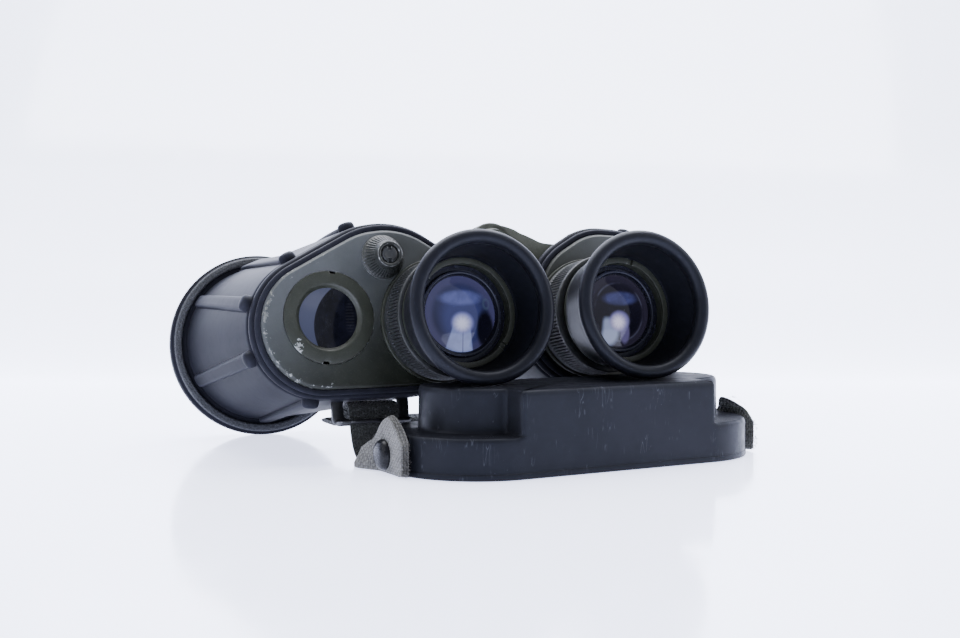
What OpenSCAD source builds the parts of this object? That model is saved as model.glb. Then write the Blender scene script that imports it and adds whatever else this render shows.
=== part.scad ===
// Offset-prism 7x50 binocular resting on its eyepiece rain guard.
// Frame: +Z up, floor at z = 0, +X from the left to the right eyepiece,
// +Y from the eyepieces towards the objectives. The optical modules are
// drawn level and placed by bino(), which lifts and tilts them.

/* [Stance] */
// height of the middle of the eyecup rims over the floor
eye_z = 55.3; // [40:0.1:80]
// nose-down tilt of the optical axes
tilt = 8.54; // [0:0.01:20]
// distance between the eyepiece axes
ipd = 62; // [56:0.5:74]

/* [Barrel] */
// objective axis, distance from the middle plane
obj_x = 72.5; // [60:0.1:90]
// objective axis, height over the eyepiece axis
obj_z = 1.65; // [-5:0.05:10]
// front tube radius over the rubber armour
tube_r = 31.2; // [26:0.1:36]
// bumper radius at the objective
bumper_r = 37.4; // [33:0.1:42]
// rear face of the objective bumper
bumper_y = 129.8; // [110:0.1:150]
// total length from the eyecup rim plane
front_y = 141; // [120:0.5:160]
// rear end of the prism housing
body_y = 43; // [38:0.1:50]
// outline circle round the rear window, x
oa_x = 74.4; // [60:0.1:90]
// outline circle round the rear window, z
oa_z = -1.3; // [-6:0.1:6]
// outline circle round the rear window, radius
oa_r = 25.2; // [20:0.1:30]
// outline circle round the filter knob, x
ob_x = 49.6; // [40:0.1:60]
// outline circle round the filter knob, z
ob_z = 5; // [0:0.1:12]
// outline circle round the filter knob, radius
ob_r = 31.4; // [25:0.1:36]
// outline circle round the eyepiece, radius
oc_r = 26; // [22:0.1:30]
// rubber armour thickness
armour_t = 2.2; // [1:0.1:4]
// housing wall thickness
wall_t = 2.5; // [1.5:0.1:4]
// height of the grip ribs over the armour
rib_h = 1.6; // [0.5:0.1:3]
// half width of the grip ribs
rib_w = 2.8; // [1.5:0.1:4]

/* [Rear plate] */
// window ring radius
ring_r = 16.5; // [12:0.1:20]
// clear radius of the rear window
pane_r = 10.6; // [8:0.1:14]
// radius of the cap that closes the right prism housing
blank_r = 8.5; // [6:0.1:10]
// axis of that cap, x
blank_x = 63; // [58:0.5:64]
// filter knob axis, x
knob_x = 51.5; // [45:0.1:60]
// filter knob axis, z
knob_z = 23.1; // [18:0.1:28]
// filter knob base radius
knob_r = 8.0; // [6:0.1:9]
// filter knob top radius
knob_top_r = 4.7; // [3:0.1:6]
// filter knob height
knob_h = 8; // [5:0.1:12]

/* [Eyepiece] */
// outer radius of the eyecup lip
cup_r = 26.6; // [22:0.1:30]
// radius of the rolled lip
lip_r = 2.5; // [1.5:0.1:4]
// focus ring radius
focus_r = 22; // [20:0.1:25]
// lens retaining ring radius
keeper_r = 19.4; // [17:0.1:21]
// lens bezel radius
bezel_r = 15.1; // [13:0.1:17]
// clear radius of the eye lens
eye_r = 12.3; // [10:0.1:14]
// radial running clearance
fit = 0.05; // [0.02:0.01:0.1]

// how far the right ocular stands turned out
right_out_y = 2.4; // [0:0.1:3]

/* [Hinge] */
// hinge axis height over the eyepiece axes
hinge_z = 30; // [18:0.1:36]
// knuckle radius
knuckle_r = 9.8; // [7:0.1:13]
// hinge pin radius
pin_r = 4; // [2.5:0.1:6]

/* [Guard] */
// height of the guard
guard_h = 28.9; // [20:0.1:35]
// distance between the round ends
guard_c = 79; // [62:0.5:90]
// radius of the round ends of the skirt
guard_r = 31; // [26:0.1:36]
// height of the skirt
skirt_h = 13.8; // [8:0.1:20]
// half length of the flush middle block
block_l = 40; // [30:0.5:50]
// rear wall of the flush block, from the middle of the guard
block_y = 11.5; // [4:0.5:24]
// radius of the end turrets
turret_r = 20.2; // [15:0.1:26]
// wall thickness of the guard
guard_t = 2; // [1:0.1:4]
// turn of the guard under the eyecups
guard_turn = 5; // [0:0.5:20]

/* [Strap] */
// width of the webbing
strap_w = 19; // [10:0.5:30]
// thickness of the webbing
strap_t = 1.4; // [0.8:0.1:3]
// number of folded layers
strap_layers = 7; // [5:2:9]
// shift of the left tab towards the objectives
tab_dy = 3.5; // [0:0.5:8]

/* [Hidden] */
ex = ipd / 2;
// radius where the armour grips the front tube, and the tube's bore
sleeve_r = tube_r - armour_t - 0.3;
cell_r = tube_r - armour_t - wall_t - 0.3;
$fn = 96;
gx = 9.55; gy = 11.05;
// middle of the length, so the origin is under the middle of the whole
y_mid = 60.75;
eps = 0.01;

// placement of the level optical parts
module floor_frame() { translate([0, -y_mid, 0]) children(); }
module bino() { floor_frame() translate([0, 0, eye_z]) rotate([-tilt, 0, 0]) children(); }
module left() { bino() mirror([1, 0, 0]) children(); }
module right() { bino() children(); }
// the right ocular, drawn as it stands, turned out by right_out_y
module right_out() { bino() translate([0, -right_out_y, 0]) children(); }
// cylinder along +Y from y0 to y1 at (x, z)
module yc(r, y0, y1, x = 0, z = 0, r2 = undef, fn = 96) {
  translate([x, y0, z]) rotate([-90, 0, 0]) cylinder(h = y1 - y0, r1 = r, r2 = r2 == undef ? r : r2, $fn = fn);
}
// ring along +Y
module yring(ro, ri, y0, y1, x = 0, z = 0) {
  difference() { yc(ro, y0, y1, x, z); yc(ri, y0 - 1, y1 + 1, x, z); }
}
// revolve a (radius, y) profile about an axis along +Y
module yrev(x = 0, z = 0, fn = 96) { translate([x, 0, z]) rotate([-90, 0, 0]) rotate_extrude($fn = fn) children(); }
// circles [x, z, r] that the rear outline of a barrel wraps; the left one holds the window
rear_left = [[oa_x, oa_z, oa_r], [ob_x, ob_z, ob_r], [ex, 0, oc_r]];
rear_right = [[39.5, 9.7, 26.4], [34.6, 6.8, 26.4], [43.2, 9.5, 26.4], [49.3, 2.9, 26.4], [48, -1, 25.4], [ex, 0, oc_r]];
mid_left = [[ob_x + 1, ob_z - 0.5, ob_r - 2.4], [ex + 1.5, 0, oc_r - 2.6]];
mid_right = [[ex + 1.5, 0, oc_r - 2.6]];
// the rear outline, grown by off
module outline(off, y0, y1, w) {
  hull() for (c = w ? rear_left : rear_right) yc(c[2] + off, y0, y1, c[0], c[1], undef, 64);
}
// body with a straight rear end that tapers to the front tube
module loft(off, y0, y1, w) {
  hull() {
    for (c = w ? rear_left : rear_right) yc(c[2] + off, y0, 47.5, c[0], c[1], undef, 64);
    for (c = w ? mid_left : mid_right) yc(c[2] + off, 84, 86, c[0], c[1], undef, 64);
    yc(tube_r + off, y1 - 2, y1, obj_x, obj_z, undef, 64);
  }
}
// inner edge of the armour beside the hinge arms
arm_left = 36; arm_right = 29.5;
module hinge_window(w) { translate([-12, 46, 11]) cube([12 + (w ? arm_left : arm_right), 60, 40]); }
// shift of the strap lug
function lug_x(w) = w ? 0 : -5;
// grip rib between a rear and a front point on the armour
function unit(v) = v / norm(v);
module rib(ar, af, cx, cz, r) {
  p = [cx + r * cos(ar), 50, cz + r * sin(ar)];
  q = [obj_x + (tube_r - 1) * cos(af), 125.5, obj_z + (tube_r - 1) * sin(af)];
  d = unit(q - p); l = norm(q - p);
  e = unit(cross(d, [cos((ar + af) / 2), 0, sin((ar + af) / 2)]));
  n = cross(e, d);
  multmatrix([[d[0], e[0], n[0], p[0]], [d[1], e[1], n[1], p[1]], [d[2], e[2], n[2], p[2]], [0, 0, 0, 1]])
    linear_extrude(height = rib_h + 1)
      polygon([for (i = [0:8]) [-rib_w * sin(i * 22.5), rib_w * cos(i * 22.5)], for (i = [0:8]) [l + rib_w * sin(i * 22.5), -rib_w * cos(i * 22.5)]]);
}
module boss(ar, cx, cz, r) {
  translate([cx + r * cos(ar), 48.4, cz + r * sin(ar)]) rotate([0, 90 - ar, 0]) {
    cylinder(h = rib_h + 1.2, r = 2.9, $fn = 32);
    translate([0, 0, rib_h + 1.2]) cylinder(h = 0.7, r1 = 2.9, r2 = 1.8, $fn = 32);
  }
}

// grip ribs: rear angle, front angle, centre and radius at the rear
ribs_left = [[22, 33, oa_x, oa_z, oa_r - 1], [-23, -28, oa_x, oa_z, oa_r - 1], [72, 78, oa_x, oa_z, oa_r + 0.3], [-85, -87, oa_x, oa_z, oa_r - 1], [69, 114, ob_x, ob_z, ob_r - 1]];
ribs_right = [[18, 33, 49.3, 2.9, 25.4], [-25, -28, 48, -1, 24.4], [62, 72, 43.2, 9.5, 25.4], [-85, -87, 48, -1, 24.4]];
module armour(w) {
  color([0.30, 0.30, 0.33]) difference() {
    union() {
      loft(0, 42.2, bumper_y + 1, w);
      outline(-1.1, 39.9, 42.3, w);
      for (r = w ? ribs_left : ribs_right) {
        rib(r[0], r[1], r[2], r[3], r[4]);
        boss(r[0], r[2], r[3], r[4]);
      }
      yrev(obj_x, obj_z) polygon([[28, bumper_y + 0.6], [32.6, bumper_y + 0.6], [33.4, bumper_y], [35.8, bumper_y], [36.4, bumper_y + 1.2],
        [bumper_r, bumper_y + 2.6], [bumper_r, bumper_y + 4.2], [36.1, front_y - 1.2], [35.2, front_y], [31.5, front_y], [30.4, front_y - 1.4], [28, front_y - 1.4]]);
    }
    loft(-armour_t, body_y, 129, w);
    outline(-3.2, 39, body_y + eps, w);
    yc(sleeve_r, 128, front_y + 2, obj_x, obj_z);
    hinge_window(w);
    translate([37.2 + lug_x(w), 56.2, -38]) cube([30.6, 3, 18]);
  }
}
module hinge_arm(y0, y1, xe) {
  translate([0, y1, 0]) rotate([90, 0, 0]) linear_extrude(height = y1 - y0)
    polygon([[0, hinge_z + knuckle_r - 0.6], [5.5, hinge_z + 8.7], [10.2, 37.2], [12.3, 35.9], [15, 35], [21.5, 32.1], [28, 31.5], [xe, xe > 30 ? 32.8 : 31.6], [xe, 16], [24, 14], [12, 17], [4, 21.4], [0, hinge_z - knuckle_r + 0.6]]);
  yc(knuckle_r, y0, y1, 0, hinge_z);
}
module housing(parts, w) {
  color([0.28, 0.30, 0.27]) difference() {
    union() {
      loft(-armour_t, body_y, 129, w);
      yc(sleeve_r - 0.02, 127, front_y - 1.4, obj_x, obj_z);
      for (p = parts) hinge_arm(p[0], p[1], (w ? arm_left : arm_right) - 0.1);
    }
    loft(-armour_t - wall_t, body_y - 1, 129, w);
    yc(cell_r, 126, front_y + 1, obj_x, obj_z);
    yc(pin_r + fit, 40, 110, 0, hinge_z);
    translate([37.5 + lug_x(w), 56.5, -40]) cube([30, 2.4, 16.1]);
  }
}
left_knuckles = [[64.1, 91.9]];
right_knuckles = [[54.6, 64], [92, 104]];

module rear_plate(window) {
  color([0.33, 0.35, 0.31]) difference() {
    union() {
      outline(-3.25, 39.6, body_y, window);
      outline(-4.1, 38.8, 39.6, window);
      outline(-armour_t - wall_t - 0.1, body_y - eps, 45, window);
    }
    outline(-7.5, body_y, 46, window);
    if (window) yc(ring_r, 37, 41.4, obj_x, obj_z);
    else yc(blank_r, 37, 40.6, blank_x, obj_z);
    if (window) yc(pane_r + 1.4, 37, 46, obj_x, obj_z);
    yc(19.55, 37, 46, ex, 0);
    if (window) yc(2.5 + fit, 37, 46, knob_x, knob_z);
    else yc(2.5, 37, 41.5, knob_x, knob_z);
  }
}
module window_ring() {
  color([0.38, 0.40, 0.36]) difference() {
    yc(ring_r, 38.55, 41.4, obj_x, obj_z);
    yc(pane_r, 37, 43, obj_x, obj_z);
    yc(pane_r + 0.9, 38, 39.2, obj_x, obj_z, pane_r - 0.1);
    yc(pane_r + 1, 40, 42, obj_x, obj_z);
    for (a = [97, 277]) translate([obj_x, 38, obj_z]) rotate([0, -a, 0]) translate([ring_r - 1.1, 0, -1]) cube([3, 1.6, 2]);
  }
}
module window_pane() { color([0.35, 0.4, 0.55]) yc(pane_r + 0.95, 40.02, 42.2, obj_x, obj_z); }
module blank_ring() {
  color([0.33, 0.35, 0.31]) difference() {
    yc(blank_r - 0.02, 38.55, 40.6, blank_x, obj_z);
    for (a = [97, 277]) translate([blank_x, 38, obj_z]) rotate([0, -a, 0]) translate([blank_r - 3.6, 0, -0.6]) cube([2, 1.4, 1.2]);
  }
}
module purge_screw() {
  color([0.5, 0.5, 0.5]) difference() {
    union() { yc(2.45, 38.7, 41.4, knob_x, knob_z); yc(4, 37.8, 38.8, knob_x, knob_z, undef, 48); }
    translate([knob_x - 5, 37, knob_z - 0.4]) cube([10, 1.3, 0.8]);
  }
}
module objective_cell() {
  color([0.12, 0.12, 0.13]) difference() {
    yc(cell_r, 126.6, 138, obj_x, obj_z);
    yc(24, 123, 140, obj_x, obj_z);
    yc(25.2, 128.6, 140, obj_x, obj_z);
    yc(25, 134, 138.5, obj_x, obj_z, 26);
  }
}
module objective_lens() {
  color([0.35, 0.3, 0.5]) yrev(obj_x, obj_z) polygon([[0, 128.6], [25.1, 128.6], [25.1, 131.6], [19, 133], [12, 134], [6, 134.6], [0, 134.8]]);
}
module prism_mount(w) {
  posts = w ? [[58, -12], [56, 12.6], [84, -8]] : [[58, -12], [56, 12.6], [62, 3]];
  color([0.15, 0.15, 0.16]) difference() {
    union() {
      translate([20.5, 54, -14]) cube([w ? 62.5 : 46, 3.9, 28]);
      for (p = posts) yc(2.6, 45.02, 57.9, p[0], p[1]);
      for (p = posts) yc(2.6, 43.02, 46, p[0], p[1]);
    }
    yc(12.4, 50, 60, ex, 0);
    if (w) yc(11, 50, 60, obj_x, obj_z);
  }
}
module prism(w) {
  color([0.6, 0.65, 0.7]) translate([0, 0, -13]) linear_extrude(height = 26)
    polygon(w ? [[85.5, 84], [59.5, 57.95], [18, 57.95], [44, 84]] : [[75, 84], [54, 57.95], [20.6, 57.95], [44, 84]]);
}
module reticle() { color([0.7, 0.75, 0.8]) yc(17.93, 44, 45.8, ex, 0); }
module focus_collar() {
  color([0.33, 0.35, 0.31]) difference() {
    union() {
      yc(19.5, 24, 46, ex, 0);
      yc(22.7, 37.1, 38.78, ex, 0);
    }
    yc(17.95, 23, 47, ex, 0);
  }
}
module focus_ring() {
  color([0.16, 0.17, 0.17]) difference() {
    union() {
      yc(focus_r - 0.5, 22.3, 36.9, ex, 0);
      yring(focus_r, focus_r - 2, 34.6, 36.9, ex, 0);
      yring(focus_r, focus_r - 2, 22.3, 23.6, ex, 0);
      for (i = [0:47]) translate([ex, 0, 0]) rotate([0, i * 7.5, 0]) translate([focus_r - 1, 23, -0.45]) cube([1, 12, 0.9]);
    }
    yc(19.5 + fit, 21, 38, ex, 0);
  }
}
module ocular_tube() {
  color([0.36, 0.38, 0.35]) difference() {
    union() {
      yc(17.95 - fit, 20, 42, ex, 0);
      yc(20.7, 20, 22, ex, 0);
      yc(19.45, 17, 20.1, ex, 0);
    }
    yc(17.3, 16, 22.6, ex, 0);
    yc(14.5, 16, 43, ex, 0);
  }
}
module eyecup() {
  color([0.10, 0.10, 0.12]) {
    yrev(ex, 0) polygon([[19.5, 19.98], [21.0, 19.98], [21.4, 18], [22.2, 14], [23.4, 9], [24.9, 4], [26.0, 1], [24.1, 0], [22.5, 1.5], [21.8, 5], [20.8, 10], [20.1, 14], [19.5, 15.3]]);
    translate([ex, 0, 0]) rotate([-90, 0, 0]) rotate_extrude($fn = 96) translate([cup_r - lip_r, 0]) circle(r = lip_r, $fn = 32);
  }
}
module keeper_ring(slots) {
  color([0.34, 0.36, 0.34]) difference() {
    yc(keeper_r, 15.5, 16.98, ex, 0);
    yc(17.3, 14, 18, ex, 0);
    for (a = slots) translate([ex, 0, 0]) rotate([0, -a, 0]) translate([17, 15, -1.1]) cube([2.6, 1.4, 2.2]);
  }
}
module bezel() {
  color([0.22, 0.20, 0.26]) difference() {
    union() { yc(bezel_r, 17.9, 20, ex, 0); yc(17.25, 19.4, 22.55, ex, 0); }
    yc(eye_r + 0.9, 17, 19.3, ex, 0, eye_r - 0.1);
    yc(eye_r, 17, 24, ex, 0);
    yc(13.9, 19.9, 24, ex, 0);
  }
}
module eye_lens() {
  color([0.4, 0.4, 0.7]) yrev(ex, 0) polygon([[0, 18.4], [4, 18.5], [8, 18.95], [11, 19.55], [eye_r - 0.05, 19.92], [13.85, 19.92], [13.85, 22.5], [0, 22.5]]);
}
module field_lens() { color([0.4, 0.45, 0.6]) yrev(ex, 0) polygon([[0, 33], [14.48, 34.5], [14.48, 37.5], [0, 39]]); }
module lug(w) {
  color([0.2, 0.2, 0.2]) translate([lug_x(w), 0, 0]) {
    difference() {
      translate([37.55, 56.55, -36]) cube([29.9, 2.3, 12.1]);
      translate([41.9, 55, -33.4]) cube([21.2, 5, 7]);
    }
    // wire that keeps the strap against the lug
    if (w) translate([39, 51.4, -34.7]) rotate([0, 90, 0]) cylinder(h = 27, r = 0.8, $fn = 24);
    if (w) for (x = [39.4, 65.6]) translate([x, 51.2, -34.7]) rotate([-90, 0, 0]) cylinder(h = 5.6, r = 0.8, $fn = 24);
  }
}
module knob() {
  color([0.33, 0.34, 0.31]) difference() {
    union() {
      yc(knob_top_r, 38.75 - knob_h, 38.75, knob_x, knob_z, knob_r);
      yc(2.5, 38.7, 47, knob_x, knob_z);
      for (i = [0:23]) translate([knob_x, 0, knob_z]) rotate([0, i * 15, 0]) translate([knob_top_r + 0.2, 31.9, -0.25]) rotate([0, 0, -22.4]) cube([0.5, 6.6, 0.5]);
    }
    yc(3.4, 30, 32.2, knob_x, knob_z);
    yc(1.5, 32, 40, knob_x, knob_z);
  }
}
module knob_screw() {
  color([0.3, 0.3, 0.3]) difference() {
    union() { yc(2.9, 31.1, 32.19, knob_x, knob_z); yc(1.45, 32.1, 39, knob_x, knob_z); }
    translate([knob_x - 0.5, 30, knob_z + 1.7]) cube([1, 1.8, 2]);
    translate([knob_x - 0.5, 30, knob_z - 3.7]) cube([1, 1.8, 2]);
  }
}
module pin() { color([0.5, 0.5, 0.5]) yc(pin_r, 53, 105.5, 0, hinge_z); }
module cap_rear() {
  color([0.24, 0.26, 0.24]) difference() {
    union() { yc(6.4, 51, 54.55, 0, hinge_z, 7.6); }
    yc(pin_r, 53, 55.5, 0, hinge_z);
    translate([-4, 50.1, hinge_z - 0.6]) cube([8, 1.7, 1.2]);
  }
}
module cap_front() {
  color([0.24, 0.26, 0.24]) difference() {
    yc(9.2, 104.05, 112, 0, hinge_z, 8);
    yc(pin_r, 104, 105.5, 0, hinge_z);
    yc(3.175, 106, 113, 0, hinge_z);
  }
}
// webbing, drawn in the floor frame
module strap_side(pts, x0) {
  floor_frame() translate([x0, 0, 0]) rotate([90, 0, 90]) linear_extrude(height = strap_w) polygon(pts);
}
strap_p = strap_t + 0.25;
strap_xa = -34; strap_xb = 40; strap_ya = 62;
module neck_strap() {
  t = strap_t; p = strap_p; n = strap_layers; zt = 1.6 + (n - 1) * p;
  color([0.13, 0.15, 0.12]) {
    // from the floor over the lug bar to the back
    strap_side([[38.5, 0.2 + t], [41.2, 2.3], [43.9, 5.0], [45.9, 8.8], [47.2, 12.5], [48.0, 15.9], [48.9, 18.4], [50.9, 19.9], [53.4, 19.8], [55.6, 18.2], [57.0, 15.6], [58.0, 13.4], [59.6, zt + 0.15], [62, zt], [80, zt],
                [80, zt - t], [61.2, zt - t], [58.8, 10.6], [56.8, 12.5], [55.7, 14.9], [54.4, 17.2], [52.9, 18.4], [51.4, 18.5], [50.2, 17.6], [49.4, 15.5], [48.5, 12.0], [47.2, 8.1], [45.0, 4.1], [42.0, 1.2], [38.5, 0.2]], -62);
    floor_frame() {
      // corner of the fold, top layer, then the folded hank below it
      translate([-68.5, strap_ya, zt - t]) cube([6.6, 18, t]);
      translate([-43.1, strap_ya, zt - t]) cube([strap_xb + 43.1, 18, t]);
      for (i = [0:n - 2]) translate([strap_xa, strap_ya, 0.2 + i * p]) cube([strap_xb - strap_xa, 18, t]);
      for (i = [0:n - 2]) translate([(n - i) % 2 == 0 ? strap_xb - 0.1 : strap_xa - 1.4, strap_ya, 0.2 + i * p]) cube([1.5, 18, t + p]);
    }
  }
}
module buckle_male() {
  color([0.06, 0.06, 0.07]) floor_frame() difference() {
    union() {
      translate([strap_xb - 0.4, 63, 0.1]) cube([8, 16, 4.4]);
      translate([strap_xb + 7, 66.5, 1]) cube([9, 9, 2.6]);
      for (y = [63.4, 76.6]) translate([strap_xb + 7, y, 1]) cube([8, 2, 2.6]);
    }
    translate([strap_xb - 1, strap_ya, 0.2 - 0.02]) cube([2, 18, strap_t + 0.04]);
  }
}
module strap_stub() {
  color([0.13, 0.15, 0.12]) strap_side([[55.4, 6], [55.4, 12.8], [54.2, 15], [52.1, 15.65], [49.8, 15.1], [48.9, 13.8], [48.5, 9],
    [49.9, 9], [50.3, 13.4], [50.8, 14.2], [52.1, 14.25], [53.2, 14.05], [53.8, 13.2], [54, 12.4], [54, 6]], 38);
}
module buckle_female() {
  color([0.06, 0.06, 0.07]) floor_frame() difference() {
    translate([37, 53.4, 0.5]) cube([21, 8.1, 7]);
    translate([39.5, 56.6, 1.7]) cube([16, 7, 4.6]);
  }
}
// rain guard, drawn along +X about its own middle
module place_guard() { floor_frame() translate([gx, gy, 0]) rotate([0, 0, guard_turn]) children(); }
module stadium(r, z0, z1, c = guard_c / 2) {
  translate([-c, 0, z0]) cylinder(h = z1 - z0, r = r);
  translate([c, 0, z0]) cylinder(h = z1 - z0, r = r);
  translate([-c, -r, z0]) cube([2 * c, 2 * r, z1 - z0]);
}
// round ends cut off flat at the back, clear of the eyepieces
module turrets(r, z0, z1, y1) {
  intersection() {
    stadium(r, z0, z1);
    translate([-100, -100, z0 - 1]) cube([200, 100 + y1, z1 - z0 + 2]);
  }
}
module guard_shell() {
  color([0.26, 0.27, 0.31]) place_guard() difference() {
    union() {
      stadium(guard_r, 0.6, skirt_h - 0.8);
      stadium(guard_r - 0.8, 0.6, skirt_h);
      stadium(guard_r - 1, 0, skirt_h - 2);
      translate([-block_l, -guard_r, skirt_h - 2]) cube([2 * block_l, guard_r + block_y, guard_h - skirt_h + 1.2]);
      translate([-block_l + 1, -guard_r + 0.8, guard_h - 1]) cube([2 * block_l - 2, guard_r + block_y - 1.6, 1]);
      turrets(turret_r, skirt_h - 1, guard_h - 0.8, block_y);
      turrets(turret_r - 0.8, skirt_h - 1, guard_h, block_y - 0.8);
    }
    stadium(guard_r - guard_t - 1, -1, skirt_h - guard_t);
    translate([-block_l + guard_t, -guard_r + guard_t + 0.5, -1]) cube([2 * (block_l - guard_t), guard_r + block_y - 2 * guard_t - 0.5, guard_h - guard_t + 1]);
    turrets(turret_r - guard_t, -1, guard_h - guard_t, block_y - guard_t);
    for (s = [-1, 1]) translate([s * (guard_c / 2 + guard_r), s < 0 ? tab_dy : 0, 6.4]) rotate([0, 90, 0]) translate([0, 0, -5]) cylinder(h = 10, r = 1.6, $fn = 48);
  }
}
module tab(s) {
  x = s * (guard_c / 2 + guard_r + 0.05);
  translate([x, s < 0 ? tab_dy : 0, 0]) rotate([0, 0, s > 0 ? 0 : 180]) difference() {
    union() {
      translate([0, -14.5, 0.2]) cube([2.4, 29, 11]);
      translate([0, 0, 0]) rotate([90, 0, 90]) linear_extrude(height = 2.4) polygon([[-14.5, 11], [-12, 14.5], [-6, 18.6], [-2, 19.4], [3, 18.4], [9, 14], [14.5, 11]]);
    }
    translate([-1, 0, 6.4]) rotate([0, 90, 0]) cylinder(h = 5, r = 1.65, $fn = 48);
  }
}
module rivet(s) {
  x = s * (guard_c / 2 + guard_r);
  translate([x, s < 0 ? tab_dy : 0, 6.4]) rotate([0, s * 90, 0]) {
    translate([0, 0, -guard_t - 2.4]) cylinder(h = guard_t + 5, r = 1.55, $fn = 48);
    translate([0, 0, 2.5]) cylinder(h = 1.2, r = 5.2, $fn = 64);
    translate([0, 0, 3.7]) cylinder(h = 1.6, r1 = 5.2, r2 = 3.2, $fn = 64);
    translate([0, 0, -guard_t - 2.75]) cylinder(h = 0.85, r = 3.4, $fn = 48);
  }
}

module housing_left() left() housing(left_knuckles, true);
module housing_right() right() housing(right_knuckles, false);
module armour_left() left() armour(true);
module armour_right() right() armour(false);
module rear_plate_left() left() rear_plate(true);
module rear_plate_right() right() rear_plate(false);
module window_ring_left() left() window_ring();
module window_pane_left() left() window_pane();
module blank_ring_right() right() blank_ring();
module purge_screw_right() right() purge_screw();
module objective_cell_left() left() objective_cell();
module objective_cell_right() right() objective_cell();
module objective_lens_left() left() objective_lens();
module objective_lens_right() right() objective_lens();
module prism_mount_left() left() prism_mount(true);
module prism_mount_right() right() prism_mount(false);
module prism_left() left() prism(true);
module prism_right() right() prism(false);
module reticle_left() left() reticle();
module focus_collar_left() left() focus_collar();
module focus_collar_right() right() focus_collar();
module strap_lug_left() left() lug(true);
module strap_lug_right() right() lug(false);
module hinge_pin() bino() pin();
module hinge_cap_rear() bino() cap_rear();
module hinge_cap_front() bino() cap_front();
module focus_ring_left() left() focus_ring();
module focus_ring_right() right() focus_ring();
module ocular_tube_left() left() ocular_tube();
module ocular_tube_right() right_out() ocular_tube();
module eyecup_left() left() eyecup();
module eyecup_right() right_out() eyecup();
module keeper_ring_left() left() keeper_ring([40, 220]);
module keeper_ring_right() right_out() keeper_ring([75, 258]);
module bezel_left() left() bezel();
module bezel_right() right_out() bezel();
module eye_lens_left() left() eye_lens();
module eye_lens_right() right_out() eye_lens();
module field_lens_left() left() field_lens();
module field_lens_right() right_out() field_lens();
module filter_knob() left() knob();
module knob_screw_node() left() knob_screw();
module guard_tab_left() color([0.55, 0.53, 0.48]) place_guard() tab(-1);
module guard_tab_right() color([0.30, 0.32, 0.26]) place_guard() tab(1);
module guard_rivet_left() color([0.08, 0.08, 0.08]) place_guard() rivet(-1);
module guard_rivet_right() color([0.08, 0.08, 0.08]) place_guard() rivet(1);

housing_left();
armour_left();
rear_plate_left();
window_ring_left();
window_pane_left();
objective_cell_left();
objective_lens_left();
prism_mount_left();
prism_left();
reticle_left();
focus_collar_left();
strap_lug_left();
hinge_pin();
hinge_cap_rear();
hinge_cap_front();
neck_strap();
buckle_male();
focus_ring_left();
ocular_tube_left();
eyecup_left();
keeper_ring_left();
bezel_left();
eye_lens_left();
field_lens_left();
filter_knob();
knob_screw_node();  // knob_screw
housing_right();
armour_right();
rear_plate_right();
blank_ring_right();
purge_screw_right();
objective_cell_right();
objective_lens_right();
prism_mount_right();
prism_right();
focus_collar_right();
strap_lug_right();
strap_stub();
buckle_female();
focus_ring_right();
ocular_tube_right();
eyecup_right();
keeper_ring_right();
bezel_right();
eye_lens_right();
field_lens_right();
guard_shell();
guard_tab_left();
guard_rivet_left();
guard_tab_right();
guard_rivet_right();
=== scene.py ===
import bpy, bmesh, math
import numpy as np
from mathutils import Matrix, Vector, noise


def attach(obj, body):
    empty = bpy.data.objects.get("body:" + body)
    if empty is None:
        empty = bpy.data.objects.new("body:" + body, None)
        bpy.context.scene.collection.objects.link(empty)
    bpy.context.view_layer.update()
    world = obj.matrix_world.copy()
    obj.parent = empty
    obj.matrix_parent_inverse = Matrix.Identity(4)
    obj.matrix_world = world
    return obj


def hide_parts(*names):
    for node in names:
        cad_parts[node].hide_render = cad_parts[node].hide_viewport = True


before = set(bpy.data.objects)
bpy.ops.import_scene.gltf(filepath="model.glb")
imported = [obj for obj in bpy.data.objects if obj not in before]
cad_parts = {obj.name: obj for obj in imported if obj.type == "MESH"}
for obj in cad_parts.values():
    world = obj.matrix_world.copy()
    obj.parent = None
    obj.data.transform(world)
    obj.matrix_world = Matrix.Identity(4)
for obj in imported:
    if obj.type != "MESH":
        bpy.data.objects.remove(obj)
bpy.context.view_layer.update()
scene = bpy.context.scene

# ---------------------------------------------------------------- frame
MM = 0.001
EYE_Z, Y_MID = 55.3, 60.75
TILT = math.radians(8.54)
CT, ST = math.cos(TILT), math.sin(TILT)
LEFT, RIGHT = -1.0, 1.0
EX = 31.0
WX, WZ = 72.5, 1.65          # objective and window axis
KX, KZ = 51.5, 23.1          # filter knob axis
HZ = 30.0                    # hinge axis height
GX, GY, GTURN = 9.55, 11.05, math.radians(5)


def place(v, side=1.0):
    """Points of the level optical frame, in mm, to the part's frame in metres."""
    v = np.asarray(v, float)
    out = np.empty_like(v)
    out[..., 0] = v[..., 0] * side
    out[..., 1] = v[..., 1] * CT + v[..., 2] * ST - Y_MID
    out[..., 2] = EYE_Z - v[..., 1] * ST + v[..., 2] * CT
    return out * MM


def on_floor(v):
    v = np.array(v, float)
    v[..., 1] -= Y_MID
    return v * MM


def on_guard(v):
    v = np.asarray(v, float)
    c, s = math.cos(GTURN), math.sin(GTURN)
    out = np.empty_like(v)
    out[..., 0] = GX + v[..., 0] * c - v[..., 1] * s
    out[..., 1] = GY + v[..., 0] * s + v[..., 1] * c - Y_MID
    out[..., 2] = v[..., 2]
    return out * MM


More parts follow.
